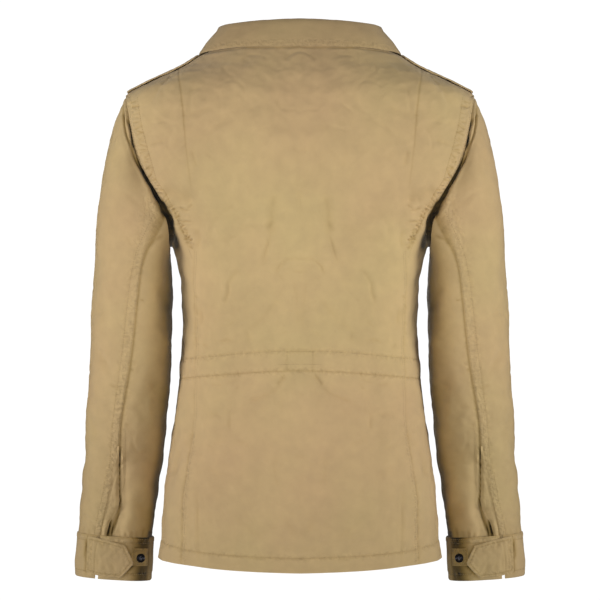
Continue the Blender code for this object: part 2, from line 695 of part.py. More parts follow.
def collar_path(turn, seat, end_turn):
    """The collar's middle line at one place round the neck, and the directions there."""
    row = row_at(COLLAR, "share", turn / end_turn)
    ends = min(turn + 2 * NEAR_TURN, 2.0), max(turn - 2 * NEAR_TURN, 0.0)
    after, before = (body(float(NECK_LEVEL), end) for end in ends)
    round_it = unit(after - before)
    outward = unit(np.cross([0, 0, 1], round_it))
    if turn == 0:
        round_it, outward = np.array([1.0, 0, 0]), np.array([0, 1.0, 0])
    up = unit(np.cross(round_it, outward))
    edge = fall_edge(turn, row.drop, row.spread)
    top = seat + outward * row.lean + up * row.stand
    stand = [
        seat + (top - seat) * share + outward * STAND_HOLLOW * sin(pi * share)
        for share in STAND_SHARES
    ]
    over = [
        top + (outward * (1 - cos(angle)) + up * sin(angle) * ROLL_FLATTENING) * ROLL_RADIUS
        for angle in map(radians, ROLL_ANGLES)
    ]
    start = top + (outward * 2 - up / 2) * ROLL_RADIUS
    pull = (start + edge) / 2 + outward * FALL_BELLY
    fall = [(1 - s) ** 2 * start + 2 * s * (1 - s) * pull + s * s * edge for s in FALL_SHARES]
    return np.array(stand + over + fall), round_it


def collar_wall():
    seats = neck_seats()
    rings = []
    for turn, seat in seats:
        path, round_it = collar_path(turn, seat, seats[-1][0])
        across = unit(np.cross(round_it, np.gradient(path, axis=0))) * THICK_CLOTH / 2
        foot = seat + unit(seat - body(float(NECK_LEVEL - 2 * NEAR_LEVEL), turn)) * SEAM
        inner_foot = foot - body_normal(NECK_LEVEL, turn) * FOOT_THICKNESS
        rings.append(np.array([inner_foot, *(path + across), *(path - across)[::-1], foot]))
    rings = [ring * (-1, 1, 1) for ring in rings[:0:-1]] + rings
    count = len(rings[0])
    closed = np.array([np.concatenate([ring, ring[:1]]) for ring in rings])
    points, faces = triangles(closed, False)
    ends, last = [], (len(rings) - 1) * (count + 1)
    for i in range(count // 2 - 1):
        a, b, c, d = i, i + 1, count - 2 - i, count - 1 - i
        ends += [(a, b, c), (a, c, d), (last + c, last + b, last + a), (last + d, last + c, last + a)]
    return joined((points, np.concatenate([faces, ends])))


def button_wall(centre, normal):
    """A round button with a low rim and a dished middle, its back against the cloth."""
    normal = unit(np.array(normal))
    across = unit(np.cross(normal, [0.1, 0.2, 1.0]))
    other = np.cross(normal, across)
    points = [centre]
    for radius, height in BUTTON_PROFILE[1:-1]:
        for i in range(BUTTON_SIDES):
            angle = 2 * pi * i / BUTTON_SIDES
            spoke = across * cos(angle) + other * sin(angle)
            points.append(centre + spoke * radius * BUTTON_RADIUS + normal * height * BUTTON_HEIGHT)
    points.append(centre + normal * BUTTON_PROFILE[-1][1] * BUTTON_HEIGHT)
    faces, rings = [], len(BUTTON_PROFILE) - 2
    for i in range(BUTTON_SIDES):
        after = (i + 1) % BUTTON_SIDES
        faces.append((0, 1 + after, 1 + i))
        for ring in range(rings - 1):
            a, b = 1 + ring * BUTTON_SIDES + i, 1 + ring * BUTTON_SIDES + after
            faces += [(a, b, b + BUTTON_SIDES), (a, b + BUTTON_SIDES, a + BUTTON_SIDES)]
        last = 1 + (rings - 1) * BUTTON_SIDES
        faces.append((last + i, last + after, len(points) - 1))
    return np.array(points), np.array(faces)


def buttons():
    found = {}
    for name, side in SIDES.items():
        flip = np.array([side, 1, 1])
        seat = on_cuff(CUFF_BUTTON_DROP, CUFF_BUTTON_TURN, 5 * SEAM + PATCH_THICKNESS)
        found["cuff_button_" + name] = button_wall(seat * flip, cuff_outward(CUFF_BUTTON_TURN) * flip)
    for number, level in enumerate(FRONT_BUTTON_LEVELS, 1):
        normal = body_normal(level, 2)
        seat = body(float(level), 2.0) + normal * (3 * SEAM + CLOTH)
        found[f"front_button_{number}"] = button_wall(seat, normal)
    return found


def material(name, colour, roughness, metallic):
    made = bpy.data.materials.new(name)
    made.use_nodes = True
    shader = made.node_tree.nodes["Principled BSDF"]
    shader.inputs["Base Color"].default_value = colour
    shader.inputs["Roughness"].default_value = roughness
    shader.inputs["Metallic"].default_value = metallic
    return made


def add_object(name, points, faces, colour, roughness, metallic):
    mesh = bpy.data.meshes.new(name)
    mesh.from_pydata((points * MM).tolist(), [], faces.tolist())
    mesh.shade_smooth()
    mesh.set_sharp_from_angle(angle=radians(SHARP_DEGREES))
    made = bpy.data.objects.new(name, mesh)
    mesh.materials.append(material(name, colour, roughness, metallic))
    bpy.context.collection.objects.link(made)


def main():
    for old in list(bpy.data.objects):
        bpy.data.objects.remove(old, do_unlink=True)
    walls = cloth_walls({**body_sheets(), **sleeve_sheets()}, CLOTH)
    walls["placket"] = placket_wall()
    walls["waist_casing"] = casing_wall()
    walls["waist_tack"] = tack_wall()
    walls["collar"] = collar_wall()
    for name, side in SIDES.items():
        walls["epaulette_" + name] = strap_wall(side)
        walls["cuff_" + name] = cuff_wall(side)
        walls["cuff_tab_" + name] = tab_wall(side)
        walls["cuff_patch_" + name] = patch_wall(side)
    for name, (points, faces) in walls.items():
        add_object(name, points, faces, CLOTH_COLOUR, CLOTH_ROUGHNESS, CLOTH_METALLIC)
    for name, (points, faces) in buttons().items():
        add_object(name, points, faces, BUTTON_COLOUR, BUTTON_ROUGHNESS, BUTTON_METALLIC)


main()
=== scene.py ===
from functools import lru_cache
from math import cos, pi, radians, sin
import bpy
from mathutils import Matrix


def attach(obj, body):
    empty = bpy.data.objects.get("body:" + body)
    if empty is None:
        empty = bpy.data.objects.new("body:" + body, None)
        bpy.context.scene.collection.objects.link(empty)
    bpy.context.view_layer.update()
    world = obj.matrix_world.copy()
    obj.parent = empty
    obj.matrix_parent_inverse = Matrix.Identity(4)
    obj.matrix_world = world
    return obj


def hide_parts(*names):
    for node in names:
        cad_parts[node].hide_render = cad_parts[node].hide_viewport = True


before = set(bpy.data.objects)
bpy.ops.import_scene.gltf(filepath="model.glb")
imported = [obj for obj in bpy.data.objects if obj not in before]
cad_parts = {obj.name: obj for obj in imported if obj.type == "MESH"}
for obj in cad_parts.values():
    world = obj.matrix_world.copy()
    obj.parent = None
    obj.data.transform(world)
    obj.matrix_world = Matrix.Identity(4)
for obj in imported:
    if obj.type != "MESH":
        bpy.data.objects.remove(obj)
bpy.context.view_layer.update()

from types import SimpleNamespace

import bpy
import numpy as np
from mathutils import Vector
from mathutils.bvhtree import BVHTree

# A field jacket filled out as when worn, with nobody in it. The wearer faces -Y and the
# wearer's left is +X. Lengths are millimetres until a mesh is made.
toMetres = 0.001
sides = {"left": 1, "right": -1}


def addObject(name, data):
    made = bpy.data.objects.new(name, data)
    bpy.context.scene.collection.objects.link(made)
    return made


cameraValues = {"distance": 4000.0, "height": -324.0, "frameWidth": 810.0, "sensor": 36.0, "marks": 600}
cameraData = bpy.data.cameras.new("camera")
cameraData.sensor_width = cameraValues["sensor"]
cameraData.lens = cameraValues["sensor"] * cameraValues["distance"] / cameraValues["frameWidth"]
camera = addObject("camera", cameraData)
camera.location = (0, cameraValues["distance"] * toMetres, cameraValues["height"] * toMetres)
camera.rotation_euler = (radians(90), 0, radians(180))
bpy.context.scene.camera = camera
bpy.context.scene.view_settings.view_transform = "Standard"
markStep, middleMark = cameraValues["frameWidth"] / cameraValues["marks"], cameraValues["marks"] / 2


def table(columns, *rows):
    return dict(zip(columns.split(), np.array(rows, float).T))


def smooth(at, places, values):
    # a smooth curve through a table's values, for one place or many
    at = np.asarray(at, float)
    step = np.diff(places)
    slope = np.diff(values) / step
    tangent = np.empty(len(places))
    tangent[1:-1] = (slope[:-1] * step[1:] + slope[1:] * step[:-1]) / (step[1:] + step[:-1])
    tangent[0], tangent[-1] = slope[0], slope[-1]
    i = np.clip(np.searchsorted(places, at) - 1, 0, len(places) - 2)
    t = (at - places[i]) / step[i]
    rise = t * t * (3 - 2 * t)
    pulls = t * (1 - t) ** 2 * tangent[i] + t * t * (t - 1) * tangent[i + 1]
    return values[i] + (values[i + 1] - values[i]) * rise + step[i] * pulls


def rowAt(rows, key, at):
    return SimpleNamespace(**{name: float(smooth(at, rows[key], column)) for name, column in rows.items()})


def unit(vectors):
    return vectors / np.maximum(np.linalg.norm(vectors, axis=-1, keepdims=True), 1e-9)


def ease(value):
    # 0 to 1, soft at both ends
    value = np.clip(value, 0, 1)
    return value * value * (3 - 2 * value)


def bump(away, width):
    return np.exp(-((away / width) ** 2))


def signedPower(value, power):
    return np.sign(value) * np.abs(value) ** power


def waves(points, seed, length, count=14):
    # soft irregular waves through space, the same on every piece that shares a place
    rng = np.random.default_rng(seed)
    direction = unit(rng.normal(size=(count, 3)))
    pace = 2 * pi / length * rng.uniform(0.7, 1.4, count)
    phase = rng.uniform(0, 2 * pi, count)
    return np.cos(points @ (direction * pace[:, None]).T + phase).sum(-1) / np.sqrt(count / 2)


def layered(points, *layers):
    # waves added up: each layer has its height, seed and length
    return sum(height * waves(points, seed, length) for height, seed, length in layers)


def wrinkles(points, seed, length, width):
    # short soft lines where a slow wave crosses zero, kept only here and there
    kept = ease((waves(points, seed + 1, 1.3 * length) - 0.1) / 0.9)
    return kept * bump(waves(points, seed, length), width)


def unevenCloth(points, values, calm):
    # soft waves with short lines pressed into them
    lines = sum(depth * wrinkles(points, *look) for depth, *look in values["wrinkles"])
    return layered(points, *values["waves"]) * calm - lines * calm


def chalkMarks(points):
    # places as seen from behind, in marks across and down: 300 is the centre back
    step = markStep * (1 - points[..., 1] / cameraValues["distance"])
    return (middleMark - np.abs(points[..., 0]) / step,
            middleMark - (points[..., 2] - cameraValues["height"]) / step)


def dropOn(tree, mark, side):
    # where a mark falls on the cloth, and the cloth's direction there
    eye = Vector((0, cameraValues["distance"], cameraValues["height"]))
    x, z = (middleMark - np.asarray(mark)) * markStep
    return tree.ray_cast(eye, (Vector((x * side, 0, cameraValues["height"] + z)) - eye).normalized())[:2]


def runsOf(path):
    # how far along a path each of its points lies
    return np.append(0, np.cumsum(np.linalg.norm(np.diff(path, axis=0), axis=1)))


def pathAt(path, places):
    # the points at some distances along a path
    return np.stack([np.interp(places, runsOf(path), column) for column in np.transpose(path)], -1)


def segmentAway(place, start, end):
    # the distance from a straight piece of path, and the share of it that lies nearest
    start = np.asarray(start)
    run = end - start
    share = np.clip((place - start) @ run / (run @ run), 0, 1)
    return np.linalg.norm(place - start - share[..., None] * run, axis=-1), share


def strokes(across, down, creases):
    # the listed creases: each has its half width, depth, the painted shade it holds and its path
    height, dustAndShade = np.zeros((2, *across.shape))
    for number, (width, depth, shade, *path) in enumerate(creases):
        path = np.array(path, float).reshape(-1, 2)
        low, high = path.min(0) - 4 * width, path.max(0) + 4 * width
        near = (across > low[0]) & (across < high[0]) & (down > low[1]) & (down < high[1])
        if not near.any():
            continue
        place, runs = np.stack([across[near], down[near]], -1), runsOf(path)
        best, along = np.full(len(place), 1e9), np.zeros(len(place))
        for i in range(len(path) - 1):
            away, share = segmentAway(place, path[i], path[i + 1])
            closer = away < best
            best[closer] = away[closer]
            along[closer] = runs[i] + share[closer] * (runs[i + 1] - runs[i])
        share = along / runs[-1]
        ends = ease(np.minimum(share, 1 - share) / 0.3 + 0.25)
        uneven = 0.82 + 0.18 * np.sin(share * 7.3 + number * 2.1)
        lips = 0.4 * bump(best - 1.9 * width, width)
        height[near] -= depth * ends * uneven * (bump(best, width) - lips)
        dustAndShade[near] += shade * ends * uneven * bump(best, 0.75 * width)
    return height, dustAndShade


bodyValues = {
    "wall": 1.5, "planSteps": 420, "rowStep": 2.6, "fineRowStep": 1.4,
    "armpit": 412, "shoulder": 640, "strapLine": 710, "neck": 760, "seamJunction": 403,
    "junctionShare": 4 / 14, "casing": (244.5, 257, 269.5), "casingLift": 0.9,
    "backColumns": 60, "sideColumns": 50, "underarmColumns": 24, "chestColumns": 66,
    "flyHalfWidth": 30, "tackHalfWidth": 18.5, "hemStitch": 17, "hemWall": 2.8, "band": 14,
    # waves by height, seed and length; lines by depth, seed, length and width
    "waves": ((0.8, 3, 105), (0.46, 4, 38), (0.15, 5, 13)), "frontWaves": ((0.6, 11, 120), (0.25, 12, 42)),
    "wrinkles": ((1.2, 201, 95, 0.24), (0.7, 211, 48, 0.3)),
    # puckers at the sewn rows: length of the row, spacing, width, reach and seed
    "sidePuckers": ((0, 403), 7, 1.5, 5, 21), "armholePuckers": ((412, 640), 6.5, 1.5, 5, 23),
    "waistPuckers": ((0, 640), 7.5, 2.1, 6.5), "waistSeeds": (31, 33), "hemPuckers": ((0, 640), 13, 3.0, 8, 41),
}
bodyPlan = table(
    "level half sideZ backY backZ frontY frontZ square",
    (0, 190.0, -671, 122, -682, -126, -682, 2.4),
    (60, 184.5, -609, 121, -618, -125, -617, 2.4),
    (120, 177.5, -552, 118, -553, -123, -552, 2.4),
    (180, 170.0, -492, 112, -487, -120, -488, 2.4),
    (257, 162.5, -417, 102, -404, -116, -412, 2.4),
    (310, 158.5, -362, 101, -349, -117, -356, 2.4),
    (350, 159.0, -318, 104, -305, -120, -312, 2.4),
    (380, 161.5, -286, 108, -273, -123, -281, 2.4),
    (412, 172.5, -252, 112, -238, -126, -248, 2.4),
    (440, 188.0, -226, 115, -210, -129, -228, 2.4),
    (470, 204.0, -197, 118, -181, -131, -207, 2.4),
    (500, 220.0, -168, 120, -154, -132, -185, 2.4),
    (540, 236.0, -130, 121, -119, -131, -156, 2.4),
    (600, 242.0, -78, 115, -70, -124, -120, 2.4),
    (640, 234.0, -49, 108, -44, -118, -102, 2.4),
    (675, 202.0, -30, 98, -24, -113, -91, 2.3),
    (710, 164.0, -12, 84, -4, -108, -82, 2.2),
    (735, 135.0, 5, 73, 8, -103, -76, 2.2),
    (760, 108.0, 18, 62, 20, -98, -70, 2.2),
)
backLine = table(
    "level x",
    (0, 158), (60, 157), (120, 150), (160, 144), (257, 140), (310, 140), (350, 141), (403, 139.5),
    (455, 141), (500, 145.5), (540, 150), (600, 154.5), (640, 157.5), (675, 160.5), (710, 164),
)
armholeCut = table(
    "share back front",
    (0.000, 0, 0), (0.125, 40, 28), (0.250, 65, 58), (0.375, 69, 78), (0.500, 63, 84),
    (0.625, 60, 76), (0.750, 49, 58), (0.875, 32, 32), (1.000, 0, 0),
)
chestCrowding = table(
    "level shift",
    (0, 0), (300, 0), (350, 14), (412, 44), (460, 66), (510, 76), (560, 68), (600, 46), (640, 20),
    (680, 0), (760, 0),
)
# broad soft folds: the two ends as x and z, width and height
broadFolds = (
    (40, -372, 52, -300, 30, 2.5),
    (150, -290, 90, -235, 26, 3.0),
    (28, -425, 70, -470, 22, -2.5),
    (110, -340, 60, -352, 22, -2.5),
    (150, -610, 148, -700, 16, -2.0),
    (120, -440, 118, -520, 30, 2.0),
)


@lru_cache(maxsize=None)
def planAt(level):
    row = rowAt(bodyPlan, "level", level)
    angle = np.linspace(0, pi / 2, bodyValues["planSteps"] + 1)
    across = row.half * np.sin(angle) ** (2 / row.square)
    deep = np.abs(np.cos(angle)) ** (2 / row.square)
    backX, backY = across, row.backY * deep
    frontX, frontY = across[::-1], row.frontY * deep[::-1]
    backRun = np.append(0, np.cumsum(np.hypot(np.diff(backX), np.diff(backY))))
    frontRun = np.append(0, np.cumsum(np.hypot(np.diff(frontX), np.diff(frontY))))
    return SimpleNamespace(
        row=row,
        turn=np.append(backRun / backRun[-1], 1 + frontRun[1:] / frontRun[-1]),
        x=np.append(backX, frontX[1:]),
        y=np.append(backY, frontY[1:]),
        backLength=backRun[-1],
        frontLength=frontRun[-1],
    )


def bareBody(level, turn):
    plan = planAt(level)
    endZ = np.where(turn < 1, plan.row.backZ, plan.row.frontZ)
    share = (1 + np.cos(pi * turn)) / 2
    x, y = (np.interp(turn, plan.turn, side) for side in (plan.x, plan.y))
    return np.stack([x, y, plan.row.sideZ + (endZ - plan.row.sideZ) * share], -1)


def bodyNormal(level, turn):
    low, high = max(level - 3, 0), min(level + 3, bodyValues["neck"])
    near, far = np.maximum(turn - 0.01, 0), np.minimum(turn + 0.01, 2)
    up = bareBody(high, turn) - bareBody(low, turn)
    normal = np.cross(up, bareBody(level, far) - bareBody(level, near))
    normal[..., 0] = np.where((turn == 0) | (turn == 2), 0, normal[..., 0])
    return unit(normal)


def foldHeight(folds, place):
    total = np.zeros(place.shape[:-1])
    for *ends, width, height in folds:
        away, _ = segmentAway(place, ends[:2], ends[2:])
        total += height * np.exp(-((away / width) ** 2) * 2)
    return total


def armholeLevel(share):
    return bodyValues["armpit"] + (bodyValues["shoulder"] - bodyValues["armpit"]) * (1 - cos(pi * share)) / 2


def armholeShare(level):
    rise = (level - bodyValues["armpit"]) / (bodyValues["shoulder"] - bodyValues["armpit"])
    return np.arccos(1 - 2 * np.clip(rise, 0, 1)) / pi


def armholeTurn(level, side):
    plan = planAt(level)
    cut = smooth(armholeShare(level), armholeCut["share"], armholeCut[side])
    return 1 - cut / plan.backLength if side == "back" else 1 + cut / plan.frontLength


def backLineTurn(level):
    plan = planAt(level)
    back = plan.turn <= 1
    x = min(smooth(level, backLine["level"], backLine["x"]), plan.x[back][-1])
    return np.interp(x, plan.x[back], plan.turn[back])


def runRound(turn, backLength, frontLength):
    # millimetres round a row from the centre back
    return np.where(turn < 1, turn * backLength, backLength + (turn - 1) * frontLength)


@lru_cache(maxsize=None)
def edgesAt(level):
    # a row's form and the turns of its seams and edges, from the centre back to the fly strip
    plan = planAt(level)
    backEdge = frontEdge = 1.0
    if bodyValues["armpit"] < level < bodyValues["shoulder"]:
        backEdge, frontEdge = armholeTurn(level, "back"), armholeTurn(level, "front")
    line = backLineTurn(level) if level < bodyValues["strapLine"] else 1.0
    low, high = bodyValues["seamJunction"], armholeLevel(bodyValues["junctionShare"])
    seam = line + (backEdge - line) * np.clip((level - low) / (high - low), 0, 1)
    return SimpleNamespace(**vars(plan), line=line, seam=seam, backEdge=backEdge, frontEdge=frontEdge,
                           fly=2 - bodyValues["flyHalfWidth"] / plan.frontLength)


def backColumns(level):
    plan = edgesAt(level)
    back, line = plan.turn <= 1, plan.line
    shares = np.linspace(0, 1, bodyValues["backColumns"] + 1)
    seen = np.interp(np.interp(line, plan.turn, plan.x) * shares[:-1], plan.x[back], plan.turn[back])
    low, high = bodyValues["strapLine"], bodyValues["neck"]
    neck = np.clip((level - low) / (high - low), 0, 1)
    return np.append(seen, line) * (1 - neck) + line * shares * neck


def sideColumns(level):
    edges = edgesAt(level)
    end = edges.seam if level <= bodyValues["shoulder"] else 1.0
    return np.linspace(edges.line, end, bodyValues["sideColumns"] + 1)


def underarmColumns(level):
    edges = edgesAt(level)
    return np.linspace(edges.seam, edges.backEdge, bodyValues["underarmColumns"] + 1)


def chestColumns(level):
    # columns make room for the armhole smoothly, then run on to the centre front
    edges = edgesAt(level)
    shares = np.linspace(0, 1, bodyValues["chestColumns"] + 1)
    shift = smooth(level, chestCrowding["level"], chestCrowding["shift"]) / edges.frontLength
    turns = 1 + (edges.fly - 1) * shares + shift * (1 - shares)
    turns += (edges.frontEdge - 1 - shift) * (np.exp(-shares / 0.12) - shares * np.exp(-1 / 0.12))
    return np.append(turns[:-1], np.linspace(edges.fly, 2, 9))


# the back's soft creases: half width, depth, painted shade, then the path's marks across and down
backCreases = (
    (1.4, 1.0, 0.20, 178.5, 208, 184.6, 210.6, 190, 210), (1.2, 0.8, 0.16, 187, 208.4, 192.7, 204.8),
    (1.2, 0.8, 0.20, 182.3, 221.5, 191.5, 222), (6.5, 2.0, 0.07, 162, 189.5, 176, 195, 192.5, 196.5),
    (3.5, 0.8, 0.05, 178, 200.5, 192, 201.5), (2.2, 0.8, 0.05, 148.5, 145.4, 157, 142.6, 165, 139.6),
    (2.2, 0.9, 0.09, 192, 150, 195.4, 165), (1.0, 0.4, 0.08, 180, 105, 184.5, 104.6),
    (1.0, 0.4, 0.08, 181.5, 115.4, 186, 114.8), (1.0, 0.4, 0.06, 182, 129, 186.5, 128.6),
    (3.0, 0.7, 0.03, 188.9, 115, 200, 111, 211.8, 106), (2.5, 0.6, 0.03, 191, 91, 200, 86),
    (3.2, 0.5, 0.02, 252, 149.5, 259, 167), (3.2, 0.4, 0.02, 283, 139, 290, 152),
    (3.0, 0.4, 0.02, 280, 156, 281, 175), (3.0, 0.5, 0.03, 298, 188, 300.5, 202, 303, 214),
    (4.6, 1.5, 0.07, 276, 194, 272.5, 206, 271, 222, 270.5, 236),
    (1.8, 1.0, 0.10, 270.7, 234, 267, 247, 264.5, 255, 262, 263),
    (1.6, 0.9, 0.09, 274.9, 275, 278.8, 266, 287.7, 258.8, 296, 258.6, 306, 259.6),
    (1.3, 0.5, 0.07, 294, 272, 301, 272), (1.3, 0.5, 0.06, 279, 276, 283.5, 279),
    (2.2, 0.5, 0.04, 293.6, 281, 296, 297, 297.8, 314, 298.6, 328),
    (2.0, 1.2, 0.09, 235.5, 272, 229, 283.5, 228.4, 293, 224.3, 304), (4.0, 0.8, 0.03, 239, 268, 236, 276),
    (1.8, 0.7, 0.05, 233.4, 321.4, 223.5, 328.3), (3.4, 0.9, 0.04, 249, 330, 262, 319.4, 280.8, 297.7),
    (1.6, 1.0, 0.11, 217.5, 342, 226.4, 339.2, 233, 341.4), (1.8, 0.5, 0.05, 280.5, 333.4, 288, 333.4),
    (2.8, 1.1, 0.10, 196.5, 230, 199, 240, 197.5, 249), (2.6, 1.1, 0.10, 199.6, 308, 201.4, 318, 200.6, 326),
    (2.2, 0.9, 0.10, 203, 343.5, 208, 348), (1.6, -0.7, 0.0, 210.8, 330, 210.8, 343),
    (2.6, 0.6, 0.04, 246.5, 329, 248.5, 336, 250, 343), (1.7, 1.5, 0.16, 285.2, 374.5, 281, 380, 277.5, 384.6),
    (1.8, 0.9, 0.07, 277.5, 384.6, 269.9, 393.2, 259, 397.8, 246.9, 402.4),
    (3.4, 0.5, 0.02, 280, 388, 281.5, 400, 282, 415), (1.5, 0.8, 0.09, 211.7, 384.2, 222.4, 384.8),
    (1.5, 0.6, 0.07, 228.5, 382.5, 239, 380), (1.4, 0.9, 0.10, 235.8, 389.5, 239.4, 385.5),
    (1.4, -0.7, 0.0, 234.6, 400, 235.4, 408), (2.0, 0.9, 0.06, 230, 410, 230, 429),
    (2.6, 0.7, 0.04, 208, 413.5, 226, 415), (2.8, 0.8, 0.04, 236, 440, 250, 446),
    (3.0, 0.7, 0.04, 206, 445, 215, 450), (4.5, 0.7, 0.02, 222, 432, 216, 452),
    (4.0, 0.7, 0.03, 206, 467, 221, 475.5), (3.0, 0.6, 0.03, 276, 453, 274.6, 470, 277.6, 487),
    (2.6, 0.6, 0.04, 295, 457, 301, 457), (3.0, 1.0, 0.06, 193, 432, 186, 447),
    (3.2, 1.2, 0.07, 180.6, 447, 173, 478), (1.4, 1.0, 0.12, 197, 488, 197.4, 520, 197.1, 546, 199.4, 566),
    (4.0, 0.8, 0.03, 168, 520, 176, 536), (3.6, 0.8, 0.03, 238, 518, 250, 531, 262, 539),
    (3.6, 0.8, 0.03, 284, 516, 292, 531, 300, 541), (1.3, 0.6, 0.08, 252, 559.6, 271, 561.4),
    (0.9, 1.3, 0.30, 153.5, 167.5, 152, 173, 147.8, 178.8),
    (0.9, 0.8, 0.16, 139.5, 154, 144, 151.6, 148.5, 150.6),
    # the hollow behind the armpit, with deep painted shade
    (4.2, 2.4, 1.3, 159.6, 199, 165, 208, 169, 217, 170.6, 227),
    (3.6, 2.9, 1.4, 167, 214, 170.6, 224, 172.4, 233, 174.4, 243, 177, 254),
    # the shade under the collar's edge
    (0.9, 0.6, 0.6, 200, 55.8, 205, 53.8, 218, 50.9, 236, 48.7),
    (0.9, 0.5, 0.42, 230, 50.2, 245, 48, 262, 47.4, 282, 47, 300, 47, 310, 47),
)
# the row that holds the armhole's band down, and the puckers it draws
bandRow = (
    (137.4, 97), (138.9, 109.4), (142.8, 131), (147.7, 150), (153.4, 168.6), (157, 180.5), (164.4, 190.4),
    (171.8, 204.4), (178.7, 222.4), (184.4, 236), (188.6, 249), (192.4, 259),
)
bandMiddle = (
    (134.4, 100), (136, 112), (139, 131), (143.4, 149), (149.4, 169), (155.6, 183), (161.6, 194),
    (171, 206), (180.6, 222), (186.4, 236), (191, 249),
)
# the fronts' creases, their paths as x and z on the wearer's own side
frontCreases = {
    "left": (
        (6, 1.2, 0.03, 70, -118, 112, -160), (5, 1.4, 0.04, 60, -176, 96, -206, 118, -214),
        (6, 1.8, 0.06, 150, -250, 112, -270, 84, -268), (5, 1.4, 0.06, 48, -300, 62, -352),
        (4, 1.6, 0.08, 92, -330, 98, -372, 90, -398), (3.4, 1.6, 0.10, 124, -372, 136, -400),
        (4.6, 1.6, 0.07, 58, -430, 74, -462, 72, -500), (3.6, 1.4, 0.08, 112, -428, 120, -470),
        (6, 1.2, 0.03, 88, -540, 128, -566), (6, 1.1, 0.03, 60, -590, 84, -640),
        (5, 1.5, 0.05, 146, -470, 150, -540), (4, 0.9, 0.05, 52, -230, 64, -262),
    ),
    "right": (
        (6, 1.1, 0.03, 64, -124, 104, -150), (5, 1.3, 0.04, 54, -190, 88, -214),
        (6, 1.7, 0.06, 148, -256, 120, -282, 90, -288), (5, 1.5, 0.06, 56, -310, 60, -366),
        (4, 1.5, 0.08, 100, -340, 92, -386), (3.4, 1.5, 0.10, 128, -366, 140, -396),
        (4.6, 1.5, 0.07, 66, -428, 82, -476), (3.8, 1.4, 0.07, 106, -432, 124, -480, 120, -512),
        (6, 1.1, 0.03, 74, -556, 120, -574), (6, 1.2, 0.03, 108, -600, 96, -650),
        (5, 1.4, 0.05, 150, -480, 146, -552), (4, 0.9, 0.05, 48, -246, 70, -270),
    ),
}


def ladder(path, spacing, reach, seed, width, depth, shade):
    # short uneven puckers across a line that is sewn
    rng = np.random.default_rng(seed)
    made, at = [], spacing * 0.5
    while at < runsOf(path)[-1] - 1:
        place, ahead = pathAt(path, (at, at + 1))
        step = ahead - place
        lean = rng.uniform(-0.7, 0.7)
        across = np.array([-step[1] + lean * step[0], step[0] + lean * step[1]])
        middle = place + across * reach * rng.uniform(-0.3, 0.3)
        half = across * reach * rng.uniform(0.35, 0.9)
        made.append((width * rng.uniform(0.75, 1.3), depth * rng.uniform(0.3, 1.3), shade * rng.uniform(0.2, 1.3),
                     *(middle - half), *(middle + half)))
        at += spacing * rng.uniform(0.5, 1.6)
    return made


def gathers(run, away, span, spacing, width, reach, seed):
    # puckers across a sewn row, in lengths of the cloth: run goes along the row
    rng = np.random.default_rng(seed)
    height = np.zeros(run.shape)
    at = span[0]
    while at < span[1]:
        at += spacing * rng.uniform(0.5, 1.6)
        lean, shift, long = rng.uniform(-0.4, 0.4), reach * rng.uniform(-0.3, 0.3), reach * rng.uniform(0.4, 1.1)
        thick, deep = width * rng.uniform(0.75, 1.4), rng.uniform(0.25, 1.0)
        near = (np.abs(run - at) < 5 * thick + reach) & (np.abs(away) < 3 * reach)
        if near.any():
            cross = run[near] - at - lean * away[near]
            lips = 0.45 * (bump(cross - 1.9 * thick, thick) + bump(cross + 1.9 * thick, thick))
            height[near] -= deep * (bump(cross, thick) - lips) * bump(away[near] - shift, long)
    return height


backStrokes = (
    *backCreases, (0.75, 0.45, 0.16, *np.ravel(bandRow)),
    *ladder(bandMiddle, 3.2, 4.6, 7, 0.9, 1.0, 0.3), *ladder(bandMiddle[7:], 2.4, 3.8, 8, 0.8, 0.9, 0.3),
    *ladder(((195.4, 296), (195.6, 312), (195, 328), (194.6, 346)), 2.6, 3.0, 9, 0.85, 0.8, 0.16),
    *ladder(((207, 377), (240, 375)), 5.5, 3.6, 10, 1.0, 0.8, 0.16),
)


def hemRow(turn):
    # the hem's sewn row lies a little higher at the sides
    return bodyValues["hemStitch"] + 1.5 + 5 * ease((0.45 - np.abs(np.asarray(turn) - 1)) / 0.4)


